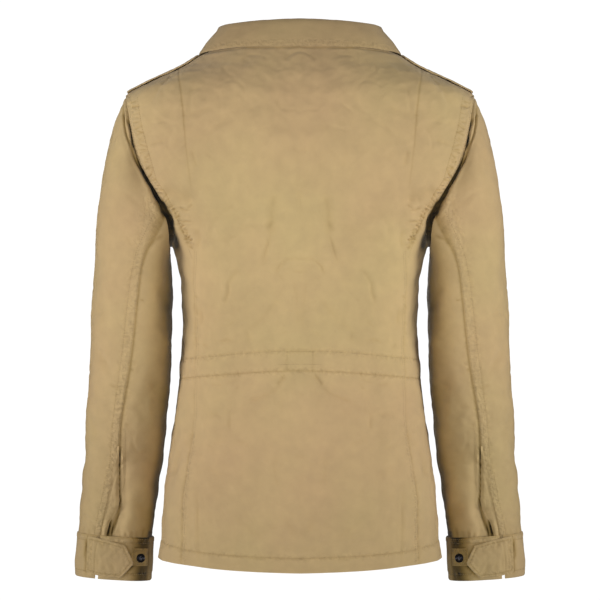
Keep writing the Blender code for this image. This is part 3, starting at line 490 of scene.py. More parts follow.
def bodyDetail(points, levels, turn, side):
    # everything finer than the broad folds: heights, dust with painted shade, and how near a sewn row is
    rows = [edgesAt(level) for level in levels]
    line, seam, backEdge, frontEdge, backLength, frontLength = (
        np.array([getattr(row, key) for row in rows])[:, None]
        for key in ("line", "seam", "backEdge", "frontEdge", "backLength", "frontLength"))
    level = np.broadcast_to(levels[:, None], turn.shape)
    backward = turn < 1
    length = np.where(backward, backLength, frontLength)
    run = runRound(turn, backLength, frontLength)
    armpit, shoulder, junction = (bodyValues[key] for key in ("armpit", "shoulder", "seamJunction"))
    drop = np.maximum(np.maximum(armpit - level, level - shoulder), 0)
    nearArmhole = np.hypot((np.where(backward, backEdge, frontEdge) - turn) * length, drop)
    calm = ease(nearArmhole / bodyValues["band"])
    height = unevenCloth(points, bodyValues, calm)
    own = ease((turn - 1) / 0.25) * ease((2 - turn) / 0.3) * calm
    height += own * layered(points * (side, 1, 1), *bodyValues["frontWaves"])
    across, down = chalkMarks(points)
    facing = ease((1.04 - turn) / 0.12)
    creased, dustAndShade = strokes(across, down, backStrokes)
    height += 1.35 * creased * facing * ease(nearArmhole / 2)
    dustAndShade = dustAndShade * facing
    creased, more = strokes(points[..., 0], points[..., 2], frontCreases["left" if side > 0 else "right"])
    front = ease((turn - 1.05) / 0.12) * calm
    height += creased * front
    dustAndShade += more * front
    # the side-back seam with its two sewn rows, and the fine line above it
    toLine = np.abs(turn - line) * backLength
    inside = (line - turn) * backLength
    low = (level < junction) * (0.4 + 0.6 * ease((195 - level) / 40))
    height += low * (0.35 * ease(inside / 1.2) * ease((8 - inside) / 2) - 0.6 * bump(toLine, 1.3))
    height += low * 0.8 * gathers(level, inside - 4, *bodyValues["sidePuckers"])
    dustAndShade += low * (0.14 * bump(toLine, 1.3) + 0.04 * bump(inside - 5.2, 1.0))
    sewn = low * bump(inside - 3.5, 6)
    shown = (level < bodyValues["strapLine"]) * (0.4 * ease((level - 475) / 25) + 0.6 * ease((level - 500) / 110))
    height -= 0.4 * bump(toLine, 1.2) * shown
    dustAndShade += 0.22 * bump(toLine, 1.0) * shown
    joined = (level >= junction) & (level < armholeLevel(bodyValues["junctionShare"]))
    dustAndShade += joined * 0.05 * bump((turn - seam) * backLength, 1.3)
    # the cloth sewn down beside the armhole
    beside = (level >= armpit) & (level <= shoulder)
    sewn = np.maximum(sewn, beside * ease((bodyValues["band"] - nearArmhole) / 3))
    height += beside * 0.5 * ease(nearArmhole / 1.6) * ease((11.5 - nearArmhole) / 1.6)
    dustAndShade += beside * (0.22 * bump(nearArmhole, 1.3) + ~backward * 0.12 * bump(nearArmhole - 11, 1.1))
    height += beside * ~backward * 0.5 * gathers(level, nearArmhole - 6, *bodyValues["armholePuckers"])
    # the waist: two sewn rows, the cord's casing between them and small gathers outside
    low, middle, high = bodyValues["casing"]
    for row, seed in zip((low, high), bodyValues["waistSeeds"]):
        height -= 0.7 * bump(level - row, 1.5)
        dustAndShade += 0.15 * bump(level - row, 1.1)
        height += 0.9 * gathers(run, level - row, *bodyValues["waistPuckers"], seed)
        sewn = np.maximum(sewn, bump(level - row, 4.5))
    toSide = 0.35 + 0.65 * ease(np.abs(turn - 1) / 0.3)
    height += bodyValues["casingLift"] * toSide * ease(1.6 - 1.6 * np.abs(level - middle) / (high - middle))
    # the hem's fold and its sewn row
    hem = hemRow(turn)
    height += 0.4 * ease((hem - level) / 4) - 0.6 * bump(level - hem, 1.5)
    dustAndShade += 0.15 * bump(level - hem, 1.1)
    height += 0.45 * gathers(run, level - hem * 0.7, *bodyValues["hemPuckers"])
    return height, dustAndShade, np.maximum(sewn, bump(level - hem, 4)) * ease((0.75 - dustAndShade) / 0.5)


def bodyFace(levels, turns, side=1, detail=True):
    # points, directions, dust with painted shade, and sewing of the outer face, for rows of levels and turns
    levels, turns = np.atleast_1d(levels).astype(float), np.atleast_2d(turns).astype(float)
    points, normals = (np.array([shape(level, turn) for level, turn in zip(levels, turns)])
                       for shape in (bareBody, bodyNormal))
    lift = foldHeight(broadFolds, points[..., [0, 2]])
    level = levels[:, None]
    edge = np.minimum(1, np.abs(turns - 1) / 0.25 + np.maximum(0, (bodyValues["armpit"] - 60 - level) / 60))
    edge = edge * ease((bodyValues["shoulder"] - level) / 25)
    height, dustAndShade, sewn = np.zeros((3, *turns.shape))
    if detail:
        height, dustAndShade, sewn = bodyDetail(points, levels, turns, side)
    points = points + normals * (lift * edge + height)[..., None]
    return points * (side, 1, 1), normals * (side, 1, 1), dustAndShade, sewn


def bodyRow(level, turns, side=1, detail=False):
    return tuple(part[0] for part in bodyFace(level, turns, side, detail))


def bodyLevels(step, low=0, high=bodyValues["neck"]):
    junction, armpit, shoulder = (bodyValues[key] for key in ("seamJunction", "armpit", "shoulder"))
    edgeShares = np.concatenate([np.linspace(0, 0.13, 9), np.linspace(0.87, 1, 9)])
    marks = [low, junction, armholeLevel(bodyValues["junctionShare"]), bodyValues["strapLine"], high]
    marks += [armholeLevel(share) for share in edgeShares]
    marks = sorted({float(mark) for mark in marks if low <= mark <= high})
    levels = []
    for start, end in zip(marks, marks[1:]):
        count = max(1, round((end - start) / step))
        levels += list(np.linspace(start, end, count + 1)[:-1])
    return np.array(levels + [high])


def bodyGrid(levels, columnsOf, side):
    # a grid's flat values are the cloth's own two coordinates and how near a sewn row is
    turns = np.array([columnsOf(level) for level in levels])
    points, normals, dustAndShade, sewn = bodyFace(levels, turns, side)
    lengths = ([[getattr(planAt(level), key)] for level in levels] for key in ("backLength", "frontLength"))
    run = runRound(turns, *map(np.array, lengths))
    return SimpleNamespace(points=points, normals=normals, dustAndShade=dustAndShade,
                           flat=np.stack(np.broadcast_arrays(run, levels[:, None], sewn), -1))


def laidGrid(levels, columnsOf, gap):
    # both halves in one grid, laid a little above or below the body's face
    right, left = (bodyGrid(levels, columnsOf, side) for side in (-1, 1))
    grid = SimpleNamespace(**{key: np.concatenate([getattr(right, key)[:, ::-1], getattr(left, key)[:, 1:]], 1)
                              for key in ("points", "normals", "dustAndShade", "flat")})
    grid.flat[:, :right.dustAndShade.shape[1], 0] *= -1
    grid.points = grid.points + grid.normals * gap
    return grid


def gridFaces(rows, columns, closed=False):
    # four-cornered faces between the rows and columns of a grid, or round its rings
    index = np.arange(rows * columns).reshape(rows, columns)
    if closed:
        index = np.hstack([index, index[:, :1]])
    return np.stack([index[:-1, :-1], index[1:, :-1], index[1:, 1:], index[:-1, 1:]], -1).reshape(-1, 4)


def sheetOf(*grids):
    # grids welded into one sheet: (grid, mirrored) pairs
    parts = {key: np.concatenate([getattr(grid, key).reshape(grid.dustAndShade.size, -1) for grid, _ in grids])
             for key in ("points", "normals", "dustAndShade", "flat")}
    faces, start = [], 0
    for grid, mirrored in grids:
        faces.append(gridFaces(*grid.dustAndShade.shape)[:, ::-1 if mirrored else 1] + start)
        start += grid.dustAndShade.size
    _, first, index = np.unique(
        np.round(parts["points"], 3) + 0.0, axis=0, return_index=True, return_inverse=True)
    parts = {key: part[first] for key, part in parts.items()}
    parts["dustAndShade"] = parts["dustAndShade"][:, 0]
    return SimpleNamespace(faces=index.reshape(-1)[np.concatenate(faces)], **parts)


def borderEdges(faces, count):
    edges = np.concatenate([faces[:, [i, (i + 1) % 4]] for i in range(4)])
    edges = edges[edges[:, 0] != edges[:, 1]]
    codes, back = edges[:, 0] * count + edges[:, 1], edges[:, 1] * count + edges[:, 0]
    return edges[~np.isin(codes, back)]


def wallOf(sheet, thickness):
    # a closed wall with the sheet as its outer face
    count = len(sheet.points)
    inner = sheet.points - sheet.normals * np.broadcast_to(thickness, count)[:, None]
    a, b = borderEdges(sheet.faces, count).T
    rims = np.stack([b, a, a + count, b + count], -1)
    faces = np.concatenate([sheet.faces, sheet.faces[:, ::-1] + count, rims])
    return SimpleNamespace(points=np.concatenate([sheet.points, inner]), faces=faces,
                           dustAndShade=np.tile(sheet.dustAndShade, 2), flat=np.tile(sheet.flat, (2, 1)))


class Signal:
    # a node's output: arithmetic with it adds maths nodes to its tree
    def __init__(self, tree, socket):
        self.tree, self.socket = tree, socket

    def step(self, operation, other=0.0):
        return addNode(self.tree, "Math", {0: self, 1: other}, operation=operation)["Value"]

    def __add__(self, other):
        return self.step("ADD", other)

    def __sub__(self, other):
        return self.step("SUBTRACT", other)

    def __mul__(self, other):
        return self.step("MULTIPLY", other)

    def __truediv__(self, other):
        return self.step("DIVIDE", other)


def plug(tree, node, inputs):
    # fills a node's sockets with plain values or with other nodes' outputs
    for name, value in inputs.items():
        if isinstance(value, Signal):
            tree.links.new(value.socket, node.inputs[name])
        else:
            node.inputs[name].default_value = value


def outputsOf(tree, node):
    return {socket.name: Signal(tree, socket) for socket in node.outputs}


def addNode(tree, kind, inputs=(), **settings):
    made = tree.nodes.new("ShaderNode" + kind)
    for name, value in settings.items():
        setattr(made, name, value)
    plug(tree, made, dict(inputs))
    return outputsOf(tree, made)


def addNoise(tree, place, scale, detail):
    return addNode(tree, "TexNoise", {"Vector": place, "Scale": scale, "Detail": detail})["Fac"]


def startGroup(name, inputs):
    # three numbers stand for a vector and four for a colour
    group = bpy.data.node_groups.new(name, "ShaderNodeTree")
    for label, value in inputs.items():
        kind = {1: "Float", 3: "Vector", 4: "Color"}[np.size(value)]
        made = group.interface.new_socket(name=label, in_out="INPUT", socket_type="NodeSocket" + kind)
        made.default_value = value
    return group, outputsOf(group, group.nodes.new("NodeGroupInput"))


def endGroup(group, outputs):
    for label, value in outputs.items():
        kind = "Color" if value.socket.type == "RGBA" else "Float"
        group.interface.new_socket(name=label, in_out="OUTPUT", socket_type="NodeSocket" + kind)
    plug(group, group.nodes.new("NodeGroupOutput"), outputs)
    return group


def makeTwill():
    # diagonal ribs of the weave over the cloth's own flat coordinates, in metres
    group, given = startGroup("twillWeave", {"Cloth": (0, 0, 0), "Rib": 0.0009, "Slub": 0.35})
    place = addNode(group, "SeparateXYZ", {0: given["Cloth"]})
    loose = (addNoise(group, given["Cloth"], 420, 2) - 0.5) * given["Slub"]
    slant = place["X"] * 0.87 + place["Y"] * 0.49
    rib = ((slant / given["Rib"] + loose * 3.0) * (2 * pi)).step("SINE")
    yarn = (place["X"] / (given["Rib"] * 0.6) * (2 * pi)).step("SINE")
    height = rib * 0.5 + (yarn * 0.12 + loose)
    return endGroup(group, {"Height": height, "Tint": height * 0.5 + 0.5})


def makePuckers():
    # the small uneven puckers that a sewn row draws into the cloth beside it
    group, given = startGroup("seamPuckers", {"Sewn": 0.0, "Size": 210.0, "Crumple": 0.4})
    place = addNode(group, "TexCoord")["Object"]
    puckers, crumple = (
        (addNoise(group, place, given["Size"] * share, 1.5) - 0.5) * 2.4 * given[label]
        for share, label in ((1.0, "Sewn"), (0.3, "Crumple")))
    return endGroup(group, {"Height": puckers + crumple, "Shade": puckers + crumple * 0.5})


def makeDyeAndShade():
    # uneven garment dye of broad clouds and small mottling, darkened by the mask of dust and painted shade in
    # creases and hollows
    group, given = startGroup("garmentDyeAndShade", {
        "Color": (0.5, 0.4, 0.2, 1), "Crease": 0.0, "Tint": 0.5, "Pucker": 0.0,
        "Clouds": 0.2, "Mottling": 0.2, "Weave": 0.1, "Hues": 0.035})
    place, crease = addNode(group, "TexCoord")["Object"], given["Crease"]
    clouds, mottling, hues = (addNoise(group, place, *look) - 0.5 for look in ((9, 4), (60, 4), (6, 2)))
    value = clouds * given["Clouds"] + mottling * given["Mottling"]
    value = value + (given["Tint"] - 0.5) * given["Weave"] + 1.0 + given["Pucker"] * 0.16
    value = value - crease * 0.75 - crease.step("POWER", 4.0) * 0.2
    shaded = addNode(group, "HueSaturation", {
        "Color": given["Color"], "Value": value, "Hue": hues * given["Hues"] + 0.5,
        "Saturation": crease * 0.35 + 1.0})
    return endGroup(group, {"Color": shaded["Color"], "Rough": mottling * 0.2 + 0.86})


twillGroup, puckerGroup, dyeAndShadeGroup = makeTwill(), makePuckers(), makeDyeAndShade()
finishValues = {
    "cloth": {"colour": (0.500, 0.352, 0.172, 1), "sheen": 0.22, "rib": 0.0009, "relief": 0.00012,
              "puckers": 0.0011},
    # the collar's cloth is a darker copy of the same cloth: painted shade
    "shadedCollarCloth": {"colour": (0.360, 0.254, 0.123, 1), "sheen": 0.22, "rib": 0.0009, "relief": 0.00012,
                    "puckers": 0.0009},
    # the thread is darker than the cloth: painted shade of the stitches' own small shadows
    "thread": {"colour": (0.345, 0.240, 0.110, 1), "sheen": 0.1, "rib": 0.0005, "relief": 0.00004,
               "puckers": 0.0001},
    "darkMetal": {"colour": (0.020, 0.019, 0.024, 1), "roughness": 0.20, "metallic": 0.75, "grain": 900,
                  "mottling": 0.6, "relief": 0.00003},
    "paleFloor": {"colour": (0.86, 0.86, 0.86, 1), "roughness": 0.8},
}


def newFinish(name):
    made = bpy.data.materials.new(name)
    made.use_nodes = True
    return made, made.node_tree, made.node_tree.nodes["Principled BSDF"]


def clothFinish(name):
    values = finishValues[name]
    made, tree, shader = newFinish(name)
    crease, sewn = (addNode(tree, "Attribute", attribute_name=label)["Fac"] for label in ("dustAndShade", "sewn"))
    puckers = addNode(tree, "Group", {"Sewn": sewn}, node_tree=puckerGroup)
    twill = addNode(tree, "Group", {"Rib": values["rib"], "Cloth": addNode(tree, "UVMap", uv_map="cloth")["UV"]},
                    node_tree=twillGroup)
    dyeAndShade = addNode(tree, "Group", {"Color": values["colour"], "Crease": crease, "Tint": twill["Tint"],
                                  "Pucker": puckers["Shade"]}, node_tree=dyeAndShadeGroup)
    relief = addNode(tree, "Bump", {"Distance": values["relief"], "Height": twill["Height"]})
    drawn = addNode(tree, "Bump", {"Distance": values["puckers"], "Height": puckers["Height"],
                                   "Normal": relief["Normal"]})
    plug(tree, shader, {
        "Base Color": dyeAndShade["Color"], "Roughness": dyeAndShade["Rough"], "Normal": drawn["Normal"],
        "Sheen Weight": values["sheen"], "Sheen Roughness": 0.5, "Sheen Tint": (1.0, 0.88, 0.70, 1),
        "Specular IOR Level": 0.25})
    return made


def metalFinish(name):
    values = finishValues[name]
    made, tree, shader = newFinish(name)
    grain = addNoise(tree, addNode(tree, "TexCoord")["Object"], values["grain"], 4)
    dyeAndShade = addNode(tree, "Group", {"Color": values["colour"], "Mottling": values["mottling"]}, node_tree=dyeAndShadeGroup)
    relief = addNode(tree, "Bump", {"Distance": values["relief"], "Height": grain})
    plug(tree, shader, {"Metallic": values["metallic"], "Base Color": dyeAndShade["Color"],
                        "Roughness": grain * 0.25 + values["roughness"], "Normal": relief["Normal"]})
    return made


cloth, shadedCollarCloth, thread = (clothFinish(name) for name in ("cloth", "shadedCollarCloth", "thread"))
darkMetal = metalFinish("darkMetal")


def addPiece(name, solid, nodes=(), finish=cloth, slot="jacket_cloth", sharp=50, **sheet):
    # triangles and quads: a quad with two equal corners is stored as a triangle
    mesh = bpy.data.meshes.new(name)
    faces = [tuple(dict.fromkeys(face)) for face in solid.faces.tolist()]
    mesh.from_pydata((solid.points * toMetres).tolist(), [], [face for face in faces if len(face) > 2])
    corners = np.empty(len(mesh.loops), np.int32)
    mesh.loops.foreach_get("vertex_index", corners)
    layer = mesh.uv_layers.new(name="cloth")
    layer.data.foreach_set("uv", (solid.flat[corners][:, :2] * toMetres).astype(np.float32).ravel())
    # the dust mask also carries painted shade, darkening creases, hollows and the sides that face away from the
    # lamps
    for label, values in (("dustAndShade", solid.dustAndShade), ("sewn", solid.flat[:, -1] * (solid.flat.shape[1] == 3))):
        mask = mesh.attributes.new(label, "FLOAT", "POINT")
        mask.data.foreach_set("value", np.clip(values, 0, 1).astype(np.float32))
    mesh.shade_smooth()
    mesh.set_sharp_from_angle(angle=radians(sharp))
    mesh.materials.append(finish)
    piece = addObject(name, mesh)
    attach(piece, "root")
    if nodes:
        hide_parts(*nodes)


def plainSolid(points, faces):
    return SimpleNamespace(points=points, faces=faces, dustAndShade=np.zeros(len(points)), flat=points[:, [0, 2]])


print("cutting the body")
levels = bodyLevels(bodyValues["rowStep"])
fineLevels = bodyLevels(bodyValues["fineRowStep"], bodyValues["seamJunction"], bodyValues["strapLine"])
underLevels = levels[levels <= armholeLevel(bodyValues["junctionShare"]) + 1e-6]


def bodyThickness(sheet):
    more = bodyValues["hemWall"] - bodyValues["wall"]
    return bodyValues["wall"] + more * ease((bodyValues["hemStitch"] - sheet.flat[:, 1]) / 2)


backSheet = sheetOf((laidGrid(levels, backColumns, 0), False))
addPiece("back_cloth", wallOf(backSheet, bodyThickness(backSheet)), ["back"], flat=(0.345, 0.725),
         rests_on=["back_side_cloth_left", "back_side_cloth_right"])
outerFaces = {"body": [backSheet]}  # what the sewing is laid on, by region
for name, side in sides.items():
    sideSheet = sheetOf((bodyGrid(fineLevels, sideColumns, side), side < 0))
    frontSheet = sheetOf((bodyGrid(underLevels, underarmColumns, side), side < 0),
                         (bodyGrid(levels, chestColumns, side), side < 0))
    addPiece("back_side_cloth_" + name, wallOf(sideSheet, bodyValues["wall"]), ["back_side_" + name],
             flat=(0.088, 0.300), area=0.0152, rests_on=["back_cloth"])
    addPiece("front_cloth_" + name, wallOf(frontSheet, bodyThickness(frontSheet)), ["front_" + name],
             flat=(0.330, 0.725), area=0.195, rests_on=["back_cloth"])
    outerFaces["body"] += [sideSheet, frontSheet]


sleeveValues = {
    "seams": (9 / 28, 18 / 28), "columnsPerTurn": 126, "rowStep": 2.3, "wall": 1.5,
    "leaving": (0.28, 0.62, -0.86), "leavingAtTop": 0.18, "pulls": (31, 44), "pullsAtTop": (20, 26),
    "arriving": 0.2, "foldFade": 2 / 3, "sectionLength": 48, "girth": 300, "square": 2.2, "sections": 9,
    "capRows": 50, "capCrowding": 1.5, "seatDrop": 1.9, "tuck": 3.2, "lineColumns": 4, "areaShare": 0.86,
    "waves": ((0.4, 51, 110), (0.34, 52, 40), (0.14, 53, 14)),
    "wrinkles": ((0.9, 221, 90, 0.24), (0.5, 231, 45, 0.3)), "seamPuckers": ((0, 480), 5.5, 1.7, 5.5, 55),
}
# how far the back seam's edge is turned over, as a share of a turn down the sleeve
seamTurnover = table(
    "along turn",
    (0, 0.006), (1, 0.006), (2, 0.014), (3, 0.015), (5.9, 0.013), (6.7, 0.026), (7.5, 0.024),
    (8, 0.022), (9, 0.011), (10, 0.010),
)
armShape = table(
    "section outerX outerZ innerX innerZ middleY halfDepth",
    (0, 276.0, -262, 172.0, -300, -2, 72),
    (1, 279.0, -310, 172.2, -335, -2, 69),
    (2, 282.0, -365, 173.0, -385, -2, 64),
    (3, 284.5, -415, 175.0, -428, -4, 59),
    (4, 288.0, -460, 178.0, -469, -8, 55),
    (5, 291.5, -505, 182.5, -510, -15, 51),
    (6, 295.5, -550, 188.5, -552, -23, 47),
    (7, 298.5, -597, 195.0, -600, -31, 43.5),
    (8, 301.0, -634, 201.0, -641, -36, 41),
    (9, 301.5, -651, 202.5, -658, -38, 40),
)
backSeam = table(
    "along turn",
    (0, 9 / 28), (0.6, 0.288), (1, 0.280), (2, 0.262), (3.5, 0.247), (5, 0.238), (7, 0.215),
    (8, 0.197), (9, 0.189), (10, 0.189),
)
# broad soft folds: the two ends along and round the sleeve, width and height
sleeveFolds = (
    (331, 76, 389, 79, 12, -4.0),
    (398, 78, 480, 70, 13, -7.0),
    (221, 105, 259, 132, 22, -3.0),
    (144, 90, 106, 126, 26, -3.0),
    (278, 36, 317, 6, 28, -2.5),
    (77, 48, 38, 24, 30, 2.5),
    (317, 108, 355, 141, 24, -2.5),
)
# the sleeve's creases, written as the back's are
sleeveCreases = (
    (1.0, 2.2, 0.9, 122.6, 104, 123.2, 114, 124.2, 124, 126, 133, 128.8, 142, 132, 150),
    (1.7, 2.4, 0.95, 126.5, 118, 129.6, 124.6, 131.6, 131.6, 132.6, 140, 133.2, 150),
    (1.5, 2.2, 1.0, 131, 147, 135.1, 158.4, 139.5, 167.2, 144.7, 175.2, 150, 185),
    (2.0, 2.6, 1.0, 142, 171, 149, 183.3, 153.5, 191.4, 158, 200),
    (2.8, 3.0, 1.0, 152, 189, 157.6, 200, 162.6, 210, 166, 219),
    (1.0, -0.8, 0.0, 126.2, 112, 127.2, 124, 129.6, 136), (2.6, 0.6, 0.03, 126.9, 194.7, 133, 199, 141, 206.5),
    (1.7, 1.3, 0.22, 151, 245.4, 156, 239.6, 165.6, 235.6), (2.6, -0.6, 0.0, 150, 250, 161, 247.6),
    (2.4, 0.7, 0.06, 126, 237, 133, 247), (1.2, 0.7, 0.25, 139, 300.4, 144.5, 300.2),
    (4.2, 1.3, 0.03, 94, 350, 103, 361, 114, 377), (1.6, 0.9, 0.12, 110.4, 385.2, 116, 387.6, 121, 389),
    (1.6, 1.0, 0.25, 130.6, 369, 133.6, 371), (1.8, 0.7, 0.08, 133, 366, 137, 362),
    (6.0, 1.8, 0.08, 157, 284, 164, 300, 170, 313), (5.0, -1.4, 0.0, 158, 330, 168, 348),
    (6.0, 1.7, 0.06, 148, 372, 158, 392, 166, 404), (4.0, 1.0, 0.04, 138, 404, 145, 424),
    (5.0, 1.0, 0.02, 90, 420, 98, 440), (6.0, 0.9, 0.02, 100, 300, 104, 326),
    (6.0, 0.9, 0.02, 118, 150, 123, 176), (1.5, 0.8, 0.2, 126, 424, 128.6, 426),
    (5.0, 1.4, 0.04, 140, 500, 146, 522), (4.0, 1.3, 0.05, 152, 480, 157, 506),
    (1.4, 0.8, 0.1, 119, 530, 121, 539), (1.4, 0.8, 0.12, 126, 532, 126.6, 539),
    (1.4, 0.9, 0.14, 132, 531, 132.6, 539), (1.4, 0.9, 0.14, 138, 531, 137.4, 539),
    (1.6, 1.1, 0.18, 144, 527, 143, 539), (1.4, 0.8, 0.14, 149, 530, 148.6, 539),
    (1.4, 0.7, 0.1, 84, 526, 83, 534), (1.4, 0.6, 0.08, 90, 528, 89.4, 535),
    # the wrist's slit, which the lap half covers, and its opening above the cuff, with painted shade in them
    (1.7, 2.2, 1.3, 119, 446, 118.9, 456, 118.7, 468.3, 118.6, 483.6, 119, 495, 120, 502.7, 119, 508.8),
    (1.5, 2.0, 1.2, 120, 498, 119.2, 509, 116.9, 518, 114.2, 525.6, 111.5, 532.5, 110, 541),
    (2.2, 3.0, 1.4, 110.6, 518, 108.6, 527, 107, 535, 106.4, 543),
    (1.6, -0.8, 0.0, 122.6, 440, 122.8, 462, 122.6, 482, 121.8, 495),
    (2.2, -0.8, 0.0, 122, 512, 119, 524, 115, 535),
)
# how wide the hollow beside the armhole is and how much painted shade it holds, by turn of the sleeve
sleeveHollow = {
    "width": ((0.0, 0.1, 0.2, 0.275, 0.315, 0.344, 0.375, 0.42, 0.46, 0.5, 0.6, 0.8, 1.0),
              (2.0, 2.0, 2.4, 3.2, 5.6, 8.0, 11.5, 13.0, 12.0, 10.0, 4.0, 2.4, 2.0)),
    "dustAndShade": ((0.0, 0.12, 0.25, 0.30, 0.34, 0.40, 0.5, 0.6, 1.0), (0.15, 0.3, 0.8, 0.9, 1.0, 1.0, 0.85, 0.3, 0.15)),
}


def seamLine(along):
    # the turn of the back seam's edge, which is turned over
    return sum(smooth(along, rows["along"], rows["turn"]) for rows in (backSeam, seamTurnover))


def armSection(along, turn):
    row = rowAt(armShape, "section", along)
    outer, inner = np.array([row.outerX, row.middleY, row.outerZ]), np.array([row.innerX, row.middleY, row.innerZ])
    angle = 2 * pi * np.asarray(turn, float)
    across = signedPower(np.cos(angle), 2 / sleeveValues["square"])[..., None]
    deep = signedPower(np.sin(angle), 2 / sleeveValues["square"])[..., None]
    return (outer + inner) / 2 + (outer - inner) / 2 * across + np.array([0, row.halfDepth, 0]) * deep


def armholePlace(turn):
    # the side, level and body turn of the armhole's edge at a turn of the sleeve
    turn %= 1
    side = "back" if turn < 0.5 else "front"
    level = float(armholeLevel(1 - 2 * turn if side == "back" else 2 * turn - 1))
    return level, np.array([armholeTurn(level, side)])


@lru_cache(maxsize=None)
def armholePoint(turn):
    # the armhole's edge at a turn of the sleeve: 0 is the shoulder tip, 0.5 the armpit
    return bodyRow(*armholePlace(turn))[0][0]


def armholePoints(turns):
    return np.array([armholePoint(round(float(turn), 6)) for turn in np.ravel(turns)])


def armholeSeat(turns):
    # the body's own direction at the edge, and the way from the edge onto the body
    around = armholePoints(np.arange(36) / 36)
    normals = np.array([bodyRow(*armholePlace(float(turn)))[1][0] for turn in turns])
    aside = unit(np.cross(normals, armholePoints(turns + 0.004) - armholePoints(turns - 0.004)))
    away = ((armholePoints(turns) - around.mean(0)) * aside).sum(-1)
    return normals, aside * np.sign(away)[:, None]


def sleeveBare(along, columnTurn, turn):
    if along >= 1:
        return armSection(along - 1, turn)
    values = sleeveValues
    top, back = np.cos(2 * pi * columnTurn)[:, None], np.sin(2 * pi * columnTurn)[:, None]
    start, end = armholePoints(columnTurn), armSection(0, turn)
    outward, sideways, down = values["leaving"]
    leaving = unit(np.concatenate(
        [outward + values["leavingAtTop"] * np.maximum(top, 0), sideways * back, 0 * top + down], 1))
    arriving = unit(armSection(values["arriving"], turn) - end)
    first = start + leaving * (values["pulls"][0] + values["pullsAtTop"][0] * top)
    second = end - arriving * (values["pulls"][1] + values["pullsAtTop"][1] * top)
    keep = 1 - along
    return keep ** 3 * start + 3 * keep * along * (keep * first + along * second) + along ** 3 * end


def sleeveTurns(along, columns):
    # a column lies on the seam, and another on the edge that is turned over beside it
    start, front = sleeveValues["seams"]
    back = smooth(along, backSeam["along"], backSeam["turn"])
    second = start + sleeveValues["lineColumns"] / sleeveValues["columnsPerTurn"]
    return np.interp(columns, [front - 1, start, second, front], [front - 1, back, seamLine(along), front])


def sleeveDetail(points, normals, alongs, turn, run):
    # heights, and dust with painted shade, finer than the broad folds; run is the way down from the armhole
    along = np.broadcast_to(alongs[:, None], turn.shape)
    calm = ease(run / 16) * ease((10.15 - along) / 0.3)
    height = unevenCloth(points, sleeveValues, calm)
    across, lower = chalkMarks(points)
    facing = ease((normals[..., 1] + 0.05) / 0.3)
    creased, dustAndShade = strokes(across, lower, sleeveCreases)
    height += 1.2 * creased * facing
    dustAndShade = dustAndShade * facing
    # the back seam with its two sewn rows, and the plain front seam
    girth = sleeveValues["girth"]
    front = sleeveValues["seams"][1]
    inside = (seamLine(along) - turn) * girth
    sewn = ease(run / 12)
    height += sewn * (0.5 * ease(inside / 1.2) * ease((11 - inside) / 1.8) - 0.8 * bump(inside, 1.3))
    way = along * sleeveValues["sectionLength"]
    height += sewn * 0.8 * gathers(way, inside - 5.5, *sleeveValues["seamPuckers"])
    dustAndShade += sewn * (0.3 * bump(inside, 1.3) + 0.08 * bump(inside - 10.4, 1.0))
    near = np.maximum(sewn * bump(inside - 5.5, 7), bump(run, 8) * (turn > 0.05) * (turn < 0.4) * 0.6)
    # painted shade: the sleeve's inner side, which faces the body, darker still at the armpit and low down; the
    # sleeve's top line a little darker; a painted shadow just above the cuff
    inner = ease((turn - 0.27) / 0.22) * ease((0.72 - turn) / 0.14)
    dustAndShade += inner * (0.47 + 0.1 * ease((4 - along) / 2) + 0.2 * ease((along - 6) / 3)) * ease(run / 20)
    dustAndShade += 0.38 * ease((turn - 0.38) / 0.08) * ease((0.72 - turn) / 0.14) * ease(run / 30)
    dustAndShade += 0.1 * ease(1 - np.minimum(np.abs(turn), np.abs(1 - turn)) / 0.2) * ease(run / 60)
    dustAndShade += 0.4 * bump((along - 9.7) * sleeveValues["sectionLength"], 2.2)
    beyond = np.minimum(np.abs(turn - front), np.abs(turn - front + 1)) * girth
    height -= sewn * 0.6 * bump(beyond, 1.5)
    dustAndShade += sewn * 0.16 * bump(beyond, 1.3)
    # the cloth dives under the body's band at the armhole, deepest behind the armpit, with painted shade in the
    # hollow and along the edge
    deep = np.interp(turn, *sleeveHollow["width"])
    dive = ease(run / (0.45 * deep)) * ease((1.15 * deep - run) / (0.6 * deep))
    height -= 1.15 * deep * dive
    dustAndShade += np.interp(turn, *sleeveHollow["dustAndShade"]) * ease((1.1 * deep - run) / (0.35 * deep))
    height *= ease(run / 2.5)
    return height, np.maximum(dustAndShade, 0.3 * bump(run, 2.0)), near


def sleeveAlongs():
    cap = (np.arange(sleeveValues["capRows"]) / sleeveValues["capRows"]) ** sleeveValues["capCrowding"]
    rows = round(sleeveValues["sections"] * sleeveValues["sectionLength"] / sleeveValues["rowStep"])
    return np.append(cap, np.linspace(1, sleeveValues["sections"] + 1, rows + 1))


